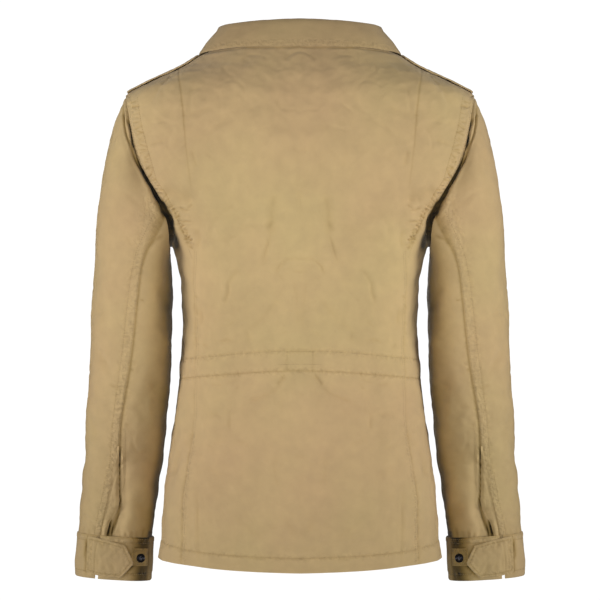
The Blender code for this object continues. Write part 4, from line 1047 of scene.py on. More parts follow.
def sleeveGrid(columns, side):
    alongs = sleeveAlongs()
    last = sleeveValues["sections"] + 1
    bare, normals, turns = [], [], []
    for along in map(float, alongs):
        turn = sleeveTurns(along, columns)
        down = sleeveBare(min(along + 0.05, last), columns, turn) - sleeveBare(max(along - 0.05, 0), columns, turn)
        after, before = (sleeveBare(along, columns + step, turn + step) for step in (0.01, -0.01))
        bare.append(sleeveBare(along, columns, turn))
        normals.append(unit(np.cross(down, after - before)))
        turns.append(turn)
    bare, normals, turns = np.array(bare), np.array(normals), np.array(turns)
    steps = np.linalg.norm(np.diff(bare, axis=0), axis=-1)
    run = np.concatenate([np.zeros((1, len(columns))), np.cumsum(steps, 0)])
    place = np.stack([np.broadcast_to(alongs[:, None], turns.shape) * sleeveValues["sectionLength"],
                      turns * sleeveValues["girth"]], -1)
    lift = foldHeight(sleeveFolds, place)
    lift = lift * np.minimum(1, alongs / sleeveValues["foldFade"])[:, None]
    height, dustAndShade, sewn = sleeveDetail(bare, normals, alongs, turns % 1, run)
    points = bare + normals * (lift + height)[..., None]
    # the top edge lies under the body's edge
    seat, aside = armholeSeat(columns)
    points = points - seat * (sleeveValues["seatDrop"] * (1 - ease(run / 5)))[..., None]
    tucked = points[0] + aside * sleeveValues["tuck"]
    points, normals = np.concatenate([tucked[None], points]), np.concatenate([seat[None], normals])
    normals[1] = seat
    dustAndShade, sewn = np.concatenate([dustAndShade[:1], dustAndShade]), np.concatenate([sewn[:1], sewn])
    alongs = np.append(-sleeveValues["tuck"] / sleeveValues["sectionLength"], alongs)
    flat = np.stack(np.broadcast_arrays(
        columns[None, :] * sleeveValues["girth"], -alongs[:, None] * sleeveValues["sectionLength"], sewn), -1)
    return SimpleNamespace(points=points * (side, 1, 1), normals=normals * (side, 1, 1), dustAndShade=dustAndShade, flat=flat)


print("setting in the sleeves")
perTurn = sleeveValues["columnsPerTurn"]
backColumn, frontColumn = (round(seam * perTurn) for seam in sleeveValues["seams"])
# the columns stand closer where the wrist's slit comes
allColumns = np.unique(np.concatenate([np.arange(frontColumn - perTurn, frontColumn + 1.0),
                                       np.arange(backColumn + 4, backColumn + 16, 0.5)]))
for name, side in sides.items():
    outerFaces["sleeve_" + name] = []
    for label, first, last in (("top", frontColumn - perTurn, backColumn), ("under", backColumn, frontColumn)):
        columns = allColumns[(allColumns >= first) & (allColumns <= last)] / perTurn
        sheet = sheetOf((sleeveGrid(columns, side), side < 0))
        size = {"top": (0.250, 0.600), "under": (0.135, 0.480)}[label]
        addPiece(f"sleeve_{label}_cloth_{name}", wallOf(sheet, sleeveValues["wall"]), [f"sleeve_{label}_{name}"],
                 flat=size, area=size[0] * size[1] * sleeveValues["areaShare"],
                 rests_on=["front_cloth_" + name, "back_side_cloth_" + name])
        outerFaces["sleeve_" + name].append(sheet)


def treeOf(sheets):
    points, faces, start = [], [], 0
    for sheet in sheets:
        points += sheet.points.tolist()
        faces += [tuple(dict.fromkeys(face)) for face in (sheet.faces + start).tolist()]
        start += len(sheet.points)
    return BVHTree.FromPolygons(points, [face for face in faces if len(face) > 2])


cuffValues = {
    "height": 60, "width": 250, "girth": 260, "overlap": 12, "clear": 1.0, "thickness": 2.0, "gap": 0.6,
    "opening": (0.183, 0.197), "columns": 112, "rows": 30, "topRows": (2.6, 8.2), "bottomRow": 50.5,
    "waves": ((0.35, 61, 34), (0.12, 62, 11)),
    "topPuckers": ((40, 320), 6.5, 1.5, 5, 63), "bottomPuckers": ((40, 320), 9, 1.6, 5, 64),
    "tabRootTurn": 0.141, "tabTipLift": 1.6, "tabRows": 26, "tabLength": 63.5, "tabPointStart": (48, 52.5),
    "tabStitch": 4.0, "tabWaves": ((0.35, 71, 24), (0.15, 72, 9)),
    "patchTurns": (0.325, 0.417), "patchDrops": (15, 39), "patchThickness": 1.0, "patchStitch": 2.6,
    "patchSize": 24, "buttonTurn": 0.366, "buttonDrop": 28,
}
tabShape = table(
    "along top bottom",
    (0, 2, 52), (14, 3.5, 54.5), (28, 6, 56), (48, 10.5, 56.5), (52.5, 11.8, 51), (63.5, 34, 37),
)
# creases of the cuff and of its tab, with a painted shadow at the tab's root and round its point
cuffCreases = (
    (2.6, 0.6, 0.03, 83, 545, 82, 560), (1.2, 0.7, 0.12, 150.6, 543, 149.6, 574),
    (1.0, 0.8, 0.2, 133, 548, 138, 547.6), (1.5, 1.0, 0.8, 87, 537, 87.4, 545, 86, 555, 87.2, 562, 87, 574),
    (2.4, 0.8, 0.7, 112, 544.4, 125.4, 546.4, 130, 555, 133.6, 563.2, 127, 571, 120, 579.5),
)
tabCreases = (
    (0.9, 0.8, 0.14, 92.8, 538, 92, 553, 91.6, 572), (0.9, 0.8, 0.14, 98.6, 539.5, 95.6, 553, 94.4, 572.5),
    (1.4, 0.8, 0.12, 99.6, 541, 103.5, 546, 104.6, 549), (1.6, 0.7, 0.06, 107.4, 546, 115, 552),
    (1.8, 0.6, 0.07, 97, 552, 98.4, 562, 97, 572), (1.9, 0.6, 0.07, 103, 560, 105.4, 568, 104.6, 575),
    (1.8, 0.7, 0.08, 111, 562, 113.6, 569, 116, 576), (1.0, -0.5, 0.0, 89.6, 544, 88.6, 556, 89.4, 568),
)


def armMiddle(section):
    return (armSection(section, 0.25) + armSection(section, 0.75)) / 2


def cuffPoint(drop, turn):
    last, overlap = sleeveValues["sections"], cuffValues["overlap"]
    end, above = armSection(last, turn), armSection(last - 1, turn)
    down = unit(armMiddle(last) - armMiddle(last - 1))
    drop = np.asarray(drop, float)[..., None]
    return np.where(drop < overlap, end + unit(above - end) * (overlap - drop), end + down * (drop - overlap))


def cuffOutward(turn):
    turn, last = np.asarray(turn, float), sleeveValues["sections"]
    before, after = (armSection(last, turn + step) for step in (-0.01, 0.01))
    return unit(np.cross(np.array([0, 0, -1.0]), after - before))


def onCuff(drop, turn, lift):
    outward = cuffOutward(turn)
    reach = cuffValues["clear"] + cuffValues["thickness"] + np.asarray(lift, float)
    return cuffPoint(drop, turn) + outward * reach[..., None]


def cuffArcTurn(start, arc):
    turns = np.arange(start, start + 0.5, 0.005)
    return np.interp(arc, runsOf(onCuff(cuffValues["height"] / 2, turns, 0)), turns)


def gridOf(points, normals, dustAndShade, flat, side, sewn=0.0):
    flip = np.array([side, 1, 1])
    flat = np.concatenate([flat, np.broadcast_to(sewn, dustAndShade.shape)[..., None]], -1)
    return SimpleNamespace(points=points * flip, normals=normals * flip, dustAndShade=dustAndShade, flat=flat)


def edgeAway(grid, size):
    # how far each point of a grid is from the grid's border, in millimetres
    rows, columns = np.meshgrid(*(np.linspace(0, 1, count) for count in grid.dustAndShade.shape), indexing="ij")
    return np.minimum(np.minimum(rows, 1 - rows) * size[0], np.minimum(columns, 1 - columns) * size[1])


def rounding(away):
    # how far a turned edge falls off beside its border, from 1 to 0
    return 1 - np.sqrt(np.clip(1 - (1 - np.clip(away / 1.6, 0, 1)) ** 2, 0, 1))


def turnedPiece(name, grid, away, thickness, mirrored, nodes, stitched, mark=0.2, **sheet):
    # a double layer with turned edges: it thins at the border and dips along its sewn row
    fall = thickness * 0.55 * rounding(away)
    groove = 1.75 * mark * bump(away - stitched, 0.9) if stitched else 0 * away
    grid.points = grid.points + grid.normals * (thickness - fall - groove)[..., None]
    grid.dustAndShade = np.clip(grid.dustAndShade + mark * bump(away - stitched, 0.8) * bool(stitched), 0, 1)
    grid.flat[..., 2] = np.maximum(grid.flat[..., 2], 5 * mark * bump(away - stitched, 4) * bool(stitched))
    outer = sheetOf((grid, mirrored))
    drop = sheetOf((SimpleNamespace(**{**vars(grid), "dustAndShade": fall + groove}), mirrored)).dustAndShade
    addPiece(name, wallOf(outer, thickness - drop), nodes, **sheet)
    return [outer]


def cuffGrid(side):
    low, high = cuffValues["opening"]
    turn, drop = np.meshgrid(np.linspace(high, low + 1, cuffValues["columns"] + 1),
                             np.linspace(0, cuffValues["height"], cuffValues["rows"] + 1))
    outward = cuffOutward(turn)
    points = cuffPoint(drop, turn) + outward * cuffValues["clear"]
    height = layered(points, *cuffValues["waves"])
    dustAndShade = 0 * drop
    for row in (*cuffValues["topRows"], cuffValues["bottomRow"]):
        height -= 0.4 * bump(drop - row, 1.2)
        dustAndShade = dustAndShade + 0.14 * bump(drop - row, 1.1)
    run = turn * cuffValues["girth"]
    height += 0.55 * gathers(run, drop - 6, *cuffValues["topPuckers"])
    height += 0.3 * gathers(run, drop - 54, *cuffValues["bottomPuckers"])
    across, down = chalkMarks(points)
    creased, more = strokes(across, down, cuffCreases)
    facing = ease(outward[..., 1] / 0.3)
    height += creased * facing
    # painted shade on the cuff's inner part, which faces the body, and a painted shadow along its upper edge
    inner = ease((turn % 1 - 0.29) / 0.09) * ease((0.72 - turn % 1) / 0.14)
    dustAndShade = dustAndShade + inner * (0.92 - 0.44 * ease((turn % 1 - 0.41) / 0.04)) + 0.25 * bump(drop, 1.0)
    sewn = bump(drop - 5.4, 5) + bump(drop - cuffValues["bottomRow"], 4)
    return gridOf(points + outward * height[..., None], outward, dustAndShade + more * facing,
                  np.stack([run, -drop], -1), side, sewn)


def outlineAway(place, outline):
    # the distance of each point of a flat pattern from its outline
    return np.min([segmentAway(place, *ends)[0] for ends in zip(outline, outline[1:])], 0)


def onTab(along, drop):
    along = np.asarray(along, float)
    turn = cuffArcTurn(cuffValues["tabRootTurn"], along)
    lift = cuffValues["gap"] + cuffValues["tabTipLift"] * (along / cuffValues["tabLength"]) ** 2
    return onCuff(drop, turn, lift), cuffOutward(turn)


def tabGrid(side):
    # the pointed tab: columns run from its sewn root to its point
    point, end = cuffValues["tabPointStart"], cuffValues["tabLength"]
    alongs = np.concatenate([
        np.linspace(0, point[0], 38), np.linspace(*point, 5)[1:], np.linspace(point[1], end, 10)[1:]])
    shares = np.linspace(0, 1, cuffValues["tabRows"] + 1)
    top, bottom = (np.interp(alongs, tabShape["along"], tabShape[edge]) for edge in ("top", "bottom"))
    drop = top + (bottom - top) * shares[:, None]
    points, outward = onTab(np.broadcast_to(alongs, drop.shape), drop)
    ripple = layered(points, *cuffValues["tabWaves"])
    across, down = chalkMarks(points)
    creased, dustAndShade = strokes(across, down, tabCreases)
    points = points + outward * (ripple + creased * 0.8 + 0.4)[..., None]
    place = np.stack(np.broadcast_arrays(alongs[None, :], drop), -1)
    outline = np.concatenate([np.stack([alongs, top], 1), np.stack([alongs, bottom], 1)[::-1]])
    away = outlineAway(place, outline)
    # a painted shadow along the tab's sewn root
    dustAndShade = dustAndShade + 0.6 * bump(alongs, 0.9)
    flat = place * (1, -1)
    return gridOf(points, outward, dustAndShade, flat, side), np.minimum(away, alongs[None, :] + 0.6)


def patchGrid(side):
    turn, drop = np.meshgrid(*(np.linspace(*cuffValues[key], 25) for key in ("patchTurns", "patchDrops")))
    points, outward = onCuff(drop, turn, cuffValues["gap"] + 0 * turn), cuffOutward(turn)
    points = points + outward * (0.12 * waves(points, 81, 12))[..., None]
    # the patch is darkened evenly: painted shade, as it sits on the cuff's shaded inner part
    return gridOf(points, outward, 0.5 + 0 * turn, np.stack([turn * cuffValues["girth"], -drop], -1), side)


# the lap over the wrist's slit: its sewn side and its free edge, as seen from behind
lapValues = {"rows": 90, "columns": 9, "thickness": 1.0, "rise": (-0.9, 1.4)}
lapMarks = {
    "sewn": ((117.6, 446), (113.4, 468), (110.6, 483.6), (108.6, 497), (105.6, 510), (102.8, 524), (100.4, 540)),
    "free": ((118.6, 446), (118.3, 468), (118.1, 483.6), (118.9, 500), (117.2, 509), (113.4, 516.5),
             (109.4, 521), (106.6, 530), (104.4, 539.5)),
}


def lapGrid(tree, side):
    shares = np.linspace(0, 1, lapValues["columns"])
    border = {}
    for label, marks in lapMarks.items():
        marks = np.array(marks, float)
        down = np.linspace(marks[0, 1], marks[-1, 1], lapValues["rows"])
        border[label] = np.stack([np.interp(down, marks[:, 1], marks[:, 0]), down], 1)
    marks = border["sewn"][:, None] + (border["free"] - border["sewn"])[:, None] * shares[:, None]
    points, normals = np.zeros((*marks.shape[:2], 3)), np.zeros((*marks.shape[:2], 3))
    for place in np.ndindex(*marks.shape[:2]):
        points[place], normals[place] = dropOn(tree, marks[place], side)
    normals = unit(normals + normals.mean((0, 1)) * 4)
    low, high = lapValues["rise"]
    rise = low + (high - low) * ease(shares) + 0.25 * waves(points, 75, 22) * shares
    points = points + normals * (rise + lapValues["thickness"])[..., None]
    dustAndShade = 0.12 * bump(shares - 0.75, 0.08) + 0 * rise
    flat = np.stack([marks[..., 0] * markStep, -marks[..., 1] * markStep, 0.4 + 0 * rise], -1)
    return SimpleNamespace(points=points, normals=normals, dustAndShade=dustAndShade, flat=flat)


print("making the cuffs")
for name, side in sides.items():
    sheet = sheetOf((lapGrid(treeOf(outerFaces["sleeve_" + name]), side), side > 0))
    addPiece("wrist_lap_cloth_" + name, wallOf(sheet, lapValues["thickness"]),
             flat=(0.010, 0.128), rests_on=["sleeve_under_cloth_" + name])
    grid = cuffGrid(side)
    outerFaces["cuff_" + name] = turnedPiece(
        "cuff_cloth_" + name, grid, edgeAway(grid, (cuffValues["height"], cuffValues["width"])),
        cuffValues["thickness"], side > 0, ["cuff_" + name], 0,
        flat=(0.262, 0.060), rests_on=["sleeve_top_cloth_" + name])
    outerFaces["tab_" + name] = turnedPiece(
        "cuff_tab_cloth_" + name, *tabGrid(side), cuffValues["thickness"], side > 0, ["cuff_tab_" + name],
        cuffValues["tabStitch"], flat=(0.0635, 0.055), area=0.0029, rests_on=["cuff_cloth_" + name])
    grid = patchGrid(side)
    outerFaces["patch_" + name] = turnedPiece(
        "cuff_patch_cloth_" + name, grid, edgeAway(grid, (cuffValues["patchSize"],) * 2),
        cuffValues["patchThickness"], side > 0, ["cuff_patch_" + name], cuffValues["patchStitch"],
        flat=(0.024, 0.024), rests_on=["cuff_cloth_" + name])


strapValues = {
    "halfWidth": 22, "lift": 0.6, "rootLift": 0.8, "rootReach": 26, "thickness": 2.0, "stitched": 4.0,
    "levels": (644, 660, 680, 700, 719, 728, 734), "shares": (1, 1, 1, 1, 1, 0.8, 0.2),
    "waves": ((0.25, 91, 26), (0.1, 92, 9)),
}


def strapGrid(side):
    halfWidth, ends = strapValues["halfWidth"], (strapValues["levels"][0], strapValues["levels"][-1])
    levels = np.linspace(*ends, 43)
    shares = np.interp(levels, strapValues["levels"], strapValues["shares"])
    places = np.linspace(-1, 1, 21)
    made, away = [], []
    for level, share in zip(levels, shares):
        plan = planAt(level)
        place = places * share * halfWidth
        turn = 1 + place / np.where(place < 0, plan.backLength, plan.frontLength)
        root = max(0.0, 1 - (level - ends[0] + 4) / strapValues["rootReach"])
        lift = strapValues["lift"] + strapValues["rootLift"] * root
        base, normal, *_ = bodyRow(level, turn)
        ripple = layered(base, *strapValues["waves"])
        made.append((base + normal * (lift + ripple + 0.2)[:, None], normal,
                     np.stack([place, np.full(place.shape, level)], -1)))
        away.append(np.minimum((1 - np.abs(places)) * share * halfWidth,
                               min((level - ends[0]) + 3, (ends[1] - level) * 0.9 + 0.4)))
    points, normals, flat = map(np.array, zip(*made))
    return gridOf(points, normals, 0 * points[..., 0], flat, side), np.array(away)


print("making the shoulder straps")
for name, side in sides.items():
    outerFaces["strap_" + name] = turnedPiece(
        "epaulette_cloth_" + name, *strapGrid(side), strapValues["thickness"], side < 0, ["epaulette_" + name],
        strapValues["stitched"], flat=(0.044, 0.105), area=0.0044,
        rests_on=["back_side_cloth_" + name, "front_cloth_" + name])


stripValues = {
    "rowStep": 3.4, "flyLift": 0.35, "flyThickness": 1.7, "flyStitch": 5.0, "casingGap": 0.5,
    "casingThickness": 1.3, "tackLift": 0.1, "tackThickness": 0.5, "tackStitch": 2.4,
}


def flyColumns(level):
    return np.linspace(2, edgesAt(level).fly, 15)


def casingColumns(level):
    edges = edgesAt(level)
    beyond = np.linspace(edges.line, 1, 12)[1:], np.linspace(1, edges.fly, 50)[1:]
    return np.concatenate([backColumns(level)[::2], *beyond])


def tackColumns(level):
    return np.linspace(0, bodyValues["tackHalfWidth"] / planAt(level).backLength, 9)


print("sewing on the fly strip, the waist casing and the tack")
flyStrip = laidGrid(bodyLevels(stripValues["rowStep"]), flyColumns, stripValues["flyLift"])
away = edgeAway(flyStrip, (bodyValues["neck"], 2 * bodyValues["flyHalfWidth"]))
outerFaces["fly"] = turnedPiece(
    "fly_strip_cloth", flyStrip, away, stripValues["flyThickness"], True, ["placket"], stripValues["flyStitch"],
    flat=(0.060, 0.640), rests_on=["front_cloth_left", "front_cloth_right"])
low, _, high = bodyValues["casing"]
casing = laidGrid(np.linspace(low, high, 11), casingColumns, -2 * bodyValues["wall"] - stripValues["casingGap"])
addPiece("waist_casing_cloth", wallOf(sheetOf((casing, False)), stripValues["casingThickness"]), ["waist_casing"],
         flat=(0.860, 0.026), rests_on=["back_cloth", "front_cloth_left"])
tack = laidGrid(np.linspace(low, high, 13), tackColumns, stripValues["tackLift"])
away = edgeAway(tack, (high - low, 2 * bodyValues["tackHalfWidth"]))
outerFaces["body"] += turnedPiece(
    "waist_tack_cloth", tack, away, stripValues["tackThickness"], False, ["waist_tack"], stripValues["tackStitch"],
    0.04, flat=(0.037, 0.026), rests_on=["back_cloth"])


collarValues = {
    "rollRadius": 4.0, "rollFlattening": 0.7, "standHollow": -1.2, "fallBelly": 3.0, "thickness": 2.0,
    "footThickness": 1.8, "fallClear": 1.2, "frontShare": 0.7, "places": 66, "edgeStitch": 4.5,
    "halfLength": 240, "turnLength": 210, "sewnReach": 60, "waves": ((0.35, 95, 38), (0.14, 96, 13)),
}
collarShape = table(
    "share lean stand drop spread",
    (0.00, -5, 26.6, 11.4, 0.00),
    (0.25, -5, 25.2, 14.6, 0.00),
    (0.50, -5, 22.6, 29.5, 0.00),
    (0.75, -9, 25, 37, 0.03),
    (1.00, -8, 24, 52, 0.17),
)


def onePoint(level, turn):
    return bodyRow(level, np.array([turn]))[0][0]


def fallEdge(turn, drop, spread):
    levels = np.arange(bodyValues["neck"], bodyValues["armpit"], -3.0)
    line = np.array([bareBody(level, np.array([turn - spread]))[0] for level in levels])
    level = np.interp(drop, runsOf(line), levels)
    lift = collarValues["thickness"] / 2 + collarValues["fallClear"]
    return onePoint(level, turn - spread) + bodyNormal(level, np.array([turn - spread]))[0] * lift


def collarPath(turn, endTurn):
    values = collarValues
    row = rowAt(collarShape, "share", turn / endTurn)
    before, seat, after = (onePoint(bodyValues["neck"], place) for place in (
        max(turn - 0.02, 0), turn, min(turn + 0.02, 2)))
    around = unit(after - before) if turn else np.array([1.0, 0, 0])
    outward = unit(np.cross([0, 0, 1], around))
    up = unit(np.cross(around, outward))
    edge = fallEdge(turn, row.drop, row.spread)
    top = seat + outward * row.lean + up * row.stand
    stand = [seat + (top - seat) * share + outward * values["standHollow"] * sin(pi * share)
             for share in np.linspace(0.06, 0.9, 8)]
    over = [top + (outward * (1 - cos(angle)) + up * sin(angle) * values["rollFlattening"]) * values["rollRadius"]
            for angle in np.radians(np.linspace(40, 128, 6))]
    start = top + (outward * 2 - up / 2) * values["rollRadius"]
    pull = (start + edge) / 2 + outward * values["fallBelly"]
    fall = [(1 - s) ** 2 * start + 2 * s * (1 - s) * pull + s * s * edge for s in np.linspace(0.05, 1, 16)]
    path = np.array(stand + over + fall)
    ripple = layered(path, *collarValues["waves"])
    fallShare = np.concatenate([np.zeros(14), np.linspace(0, 1, 16)])
    across = unit(np.cross(around, np.gradient(path, axis=0)))
    return path + across * (ripple * (0.3 + 0.7 * fallShare))[:, None], across, seat


def collarSolid():
    endTurn = edgesAt(bodyValues["neck"]).fly
    endTurn += (2 - endTurn) * collarValues["frontShare"]
    turns = np.linspace(0, endTurn, collarValues["places"] + 1)
    rings, dustAndShadeRings, edge = [], [], []
    half, stitch = collarValues["thickness"] / 2, collarValues["edgeStitch"]
    for turn in turns:
        path, across, seat = collarPath(turn, endTurn)
        run = runsOf(path)
        fromEdge = run[-1] - run
        away = np.minimum(fromEdge, (endTurn - turn) * collarValues["turnLength"]) if turn > 1 else fromEdge
        onFall = fromEdge < collarValues["sewnReach"]
        thick = half - 0.55 * rounding(away)
        foot = seat + unit(seat - onePoint(bodyValues["neck"] - 6, turn)) * 0.3
        innerFoot = foot - bodyNormal(bodyValues["neck"], np.array([turn]))[0] * collarValues["footThickness"]
        outer = path - across * thick[:, None] + across * (0.4 * bump(away - stitch, 1.3) * onFall)[:, None]
        inner = path + across * thick[:, None]
        rings.append(np.array([innerFoot, *inner, *outer[::-1], foot]))
        edge.append([np.interp(run[-1] - stitch, run, column) for column in inner.T])
        shade = 0.22 * bump(away - stitch, 1.0) * onFall
        dustAndShadeRings.append(np.array([0.1, *(0 * shade), *shade[::-1], 0.3]))
    rings, dustAndShadeRings = np.array(rings), np.array(dustAndShadeRings)
    rings = np.concatenate([rings[:0:-1] * (-1, 1, 1), rings])
    dustAndShadeRings = np.concatenate([dustAndShadeRings[:0:-1], dustAndShadeRings])
    places, count = dustAndShadeRings.shape
    faces, ends = gridFaces(places, count, True), []
    for i in range(count // 2 - 1):
        end = np.array((i, i + 1, count - 2 - i, count - 1 - i))
        ends += [end, end[::-1] + (places - 1) * count]
    halfLength = collarValues["halfLength"]
    flat = np.stack(np.broadcast_arrays(
        np.linspace(-halfLength, halfLength, places)[:, None], runsOf(rings[places // 2]),
        np.abs(np.arange(count) - count / 2) < 6), -1)
    edge = np.array(edge[:-1])
    return SimpleNamespace(points=rings.reshape(-1, 3), faces=np.concatenate([faces, ends]), dustAndShade=dustAndShadeRings.ravel(),
                           flat=flat.reshape(-1, 3), edge=np.concatenate([edge[:0:-1] * (-1, 1, 1), edge]))


print("turning the collar")
collar = collarSolid()
addPiece("collar_cloth", collar, ["collar"], shadedCollarCloth, flat=(0.460, 0.085),
         rests_on=["back_cloth", "front_cloth_left", "front_cloth_right"])


stitchValues = {"pitch": 3.1, "length": 2.3, "width": 0.62, "height": 0.42, "sunk": 0.1, "reach": 12.0}
beadShape = np.array(((-0.5, 0, 0), (-0.25, -0.5, 0.2), (-0.25, 0, 1), (-0.25, 0.5, 0.2),
                      (0.25, -0.5, 0.2), (0.25, 0, 1), (0.25, 0.5, 0.2), (0.5, 0, 0)))
beadFaces = np.array(((0, 2, 1, 1), (0, 3, 2, 2), (0, 1, 3, 3), (1, 2, 5, 4), (2, 3, 6, 5), (3, 1, 4, 6),
                      (7, 4, 5, 5), (7, 5, 6, 6), (7, 6, 4, 4)))


def sewnRow(path, tree):
    # places, directions and ways up of the stitches of one row laid on the cloth
    pitch = stitchValues["pitch"]
    places = np.arange(pitch / 2, runsOf(path)[-1], pitch)
    found = [[tree.find_nearest(Vector(point), stitchValues["reach"]) for point in pathAt(path, places + step)]
             for step in (-pitch * 0.4, 0.0, pitch * 0.4)]
    found = [hits for hits in zip(*found) if all(hit[0] is not None for hit in hits)]
    behind, here, ahead = (np.array([hits[i][0] for hits in found]).reshape(-1, 3) for i in range(3))
    up = np.array([hits[1][1] for hits in found]).reshape(-1, 3)
    return here, unit(ahead - behind), up


def sewing(name, rows, tree, seed):
    # one mesh holds all the stitches of a region
    here, way, up = (np.concatenate(part) for part in zip(*(sewnRow(path, tree) for path in rows)))
    rng = np.random.default_rng(seed)
    size = rng.uniform(0.85, 1.12, (len(here), 1))
    aside = unit(np.cross(up, way) + rng.normal(0, 0.05, here.shape))
    values = stitchValues
    bead = (beadShape * (values["length"], values["width"], values["height"]))[None]
    points = (here - up * values["sunk"])[:, None] + size[:, None] * (
        bead[..., :1] * way[:, None] + bead[..., 1:2] * aside[:, None] + bead[..., 2:] * up[:, None])
    faces = (beadFaces[None] + 8 * np.arange(len(here))[:, None, None]).reshape(-1, 4)
    addPiece(name, plainSolid(points.reshape(-1, 3), faces), finish=thread, sharp=80)
    return len(here)


def bodyPath(levels, turns, side):
    levels, turns = np.broadcast_arrays(np.asarray(levels, float), np.asarray(turns, float))
    return bodyFace(levels, turns[:, None], side, False)[0][:, 0]


def besideEdge(span, edge, inset, side):
    # a row beside an edge of the body, between two levels: inset is the way towards the front
    rows = [edgesAt(level) for level in np.linspace(*span)]
    length = "frontLength" if edge in ("frontEdge", "fly") else "backLength"
    turns = [getattr(row, edge) + inset / getattr(row, length) for row in rows]
    return bodyPath(np.linspace(*span), turns, side)


def markedPath(marks, tree, side, step=2.0):
    # a row drawn by marks as seen from behind, dropped onto the cloth
    places = np.arange(0, runsOf(marks)[-1] + step, step)
    hits = [dropOn(tree, mark, side)[0] for mark in pathAt(marks, places)]
    return np.array([hit for hit in hits if hit is not None])


def sleevePath(inset, first, last, side):
    # beside the sleeve's back seam, from one share of its length to another
    inset = inset / sleeveValues["girth"]
    column = sleeveValues["seams"][0] + sleeveValues["lineColumns"] / perTurn - inset
    path = [sleeveBare(along, np.array([column]), np.array([seamLine(along) - inset]))[0]
            for along in np.linspace(first, last, 120)]
    return np.array(path) * (side, 1, 1)


def cuffPath(drop, first, last, side):
    turns = np.linspace(first, last, 160)
    return onCuff(np.full(turns.shape, float(drop)), turns, 0 * turns) * (side, 1, 1)


def tabPath(corners, side):
    points, outward = onTab(*pathAt(corners, np.arange(0, runsOf(corners)[-1], 1.0)).T)
    return (points + outward * 2) * (side, 1, 1)


# rows of stitches beside the body's edges: levels and their number, edge, distance from it
edgeRows = (
    ((4, 401, 130), "line", -1.2), ((4, 401, 130), "line", -5.0), ((424, 636, 90), "frontEdge", 2.6),
    ((424, 636, 90), "frontEdge", 10.4), ((424, 636, 90), "backEdge", -4.0),
)
# rows drawn by marks as seen from behind, on the back and beside the wrist's slit
markedRows = ((287.2, 352), (287, 371)), ((278, 364.6), (287, 364.4), (300, 364.2))
wristRows = (
    ((120.6, 432), (120.4, 456), (120.4, 484), (120.8, 496)),
    ((125.2, 430), (125.4, 454), (125, 476), (123.4, 488), (120.9, 497)),
)
# rows on the tab, by distance from its root and from the cuff's upper edge
tabRows = (
    ((9, 3.6), (9, 52.6)), ((15.4, 4.6), (12.4, 30), (12, 53.6)),
    ((16, 7.6), (28, 9.8), (49.6, 15.4), (58.6, 35.5), (46.2, 52.6), (28, 52), (14, 50.6)),
)
print("sewing the rows")
trees = {region: treeOf(sheets) for region, sheets in outerFaces.items()}
low, _, high = bodyValues["casing"]
bodyRows = []
for side in sides.values():
    for level in (bodyValues["hemStitch"], low, high):
        turns = np.linspace(0, edgesAt(level).fly, 200)
        bodyRows.append(bodyPath(hemRow(turns) if level == bodyValues["hemStitch"] else level, turns, side))
    bodyRows += [besideEdge(*row, side) for row in edgeRows]
    bodyRows += [markedPath(marks, trees["body"], side) for marks in (bandRow, *markedRows)]
stitches = sewing("stitches_body", bodyRows, trees["body"], 101)
for name, side in sides.items():
    tree = trees["sleeve_" + name]
    rows = [sleevePath(inset, 0.25, 10.1, side) for inset in (2.0, 9.6)]
    rows += [markedPath(marks, tree, side) for marks in wristRows]
    rows.append(markedPath(((101.3, 502), (107.4, 505.4)), tree, side, 1.0))
    stitches += sewing("stitches_sleeve_" + name, rows, tree, 102)
    rows = [cuffPath(drop, 0.205, 1.175, side) for drop in (*cuffValues["topRows"], cuffValues["bottomRow"])]
    stitches += sewing("stitches_cuff_" + name, rows, trees["cuff_" + name], 103)
    rows = [tabPath(corners, side) for corners in tabRows]
    stitches += sewing("stitches_tab_" + name, rows, trees["tab_" + name], 104)
    (left, right), (top, bottom) = (np.add(cuffValues[key], (inset, -inset)) for key, inset in (
        ("patchTurns", 0.011), ("patchDrops", cuffValues["patchStitch"])))
    corners = (top, left), (top, right), (bottom, right), (bottom, left), (top, left)
    rows = [onCuff(*np.linspace(start, end, 12).T, np.full(12, 1.6)) * (side, 1, 1)
            for start, end in zip(corners, corners[1:])]
    stitches += sewing("stitches_patch_" + name, rows, trees["patch_" + name], 105)
    grid, _ = strapGrid(side)
    rows = [np.concatenate([grid.points[1:37, 2], grid.points[38, 3:18], grid.points[36:0:-1, 18]])]
    stitches += sewing("stitches_strap_" + name, rows, trees["strap_" + name], 106)
rows = [besideEdge((4, 742, 200), "fly", 5.0, side) for side in sides.values()]
stitches += sewing("stitches_fly", rows, trees["fly"], 107)
stitches += sewing("stitches_collar", [collar.edge], treeOf([collar]), 108)
print(stitches, "stitches")


buttonValues = {
    "radius": 6.2, "height": 3.2, "steps": 48, "frontLevels": (110, 205, 310, 438, 570),
    "cuffLift": 0.3, "frontLift": 2.2,
    "profile": ((0.30, -0.02), (0.95, 0.0), (1.0, 0.10), (1.0, 0.62), (0.97, 0.80), (0.90, 0.94), (0.82, 0.98),
                (0.74, 0.92), (0.68, 0.78), (0.60, 0.70), (0.40, 0.66), (0.18, 0.64), (0.02, 0.64)),
}


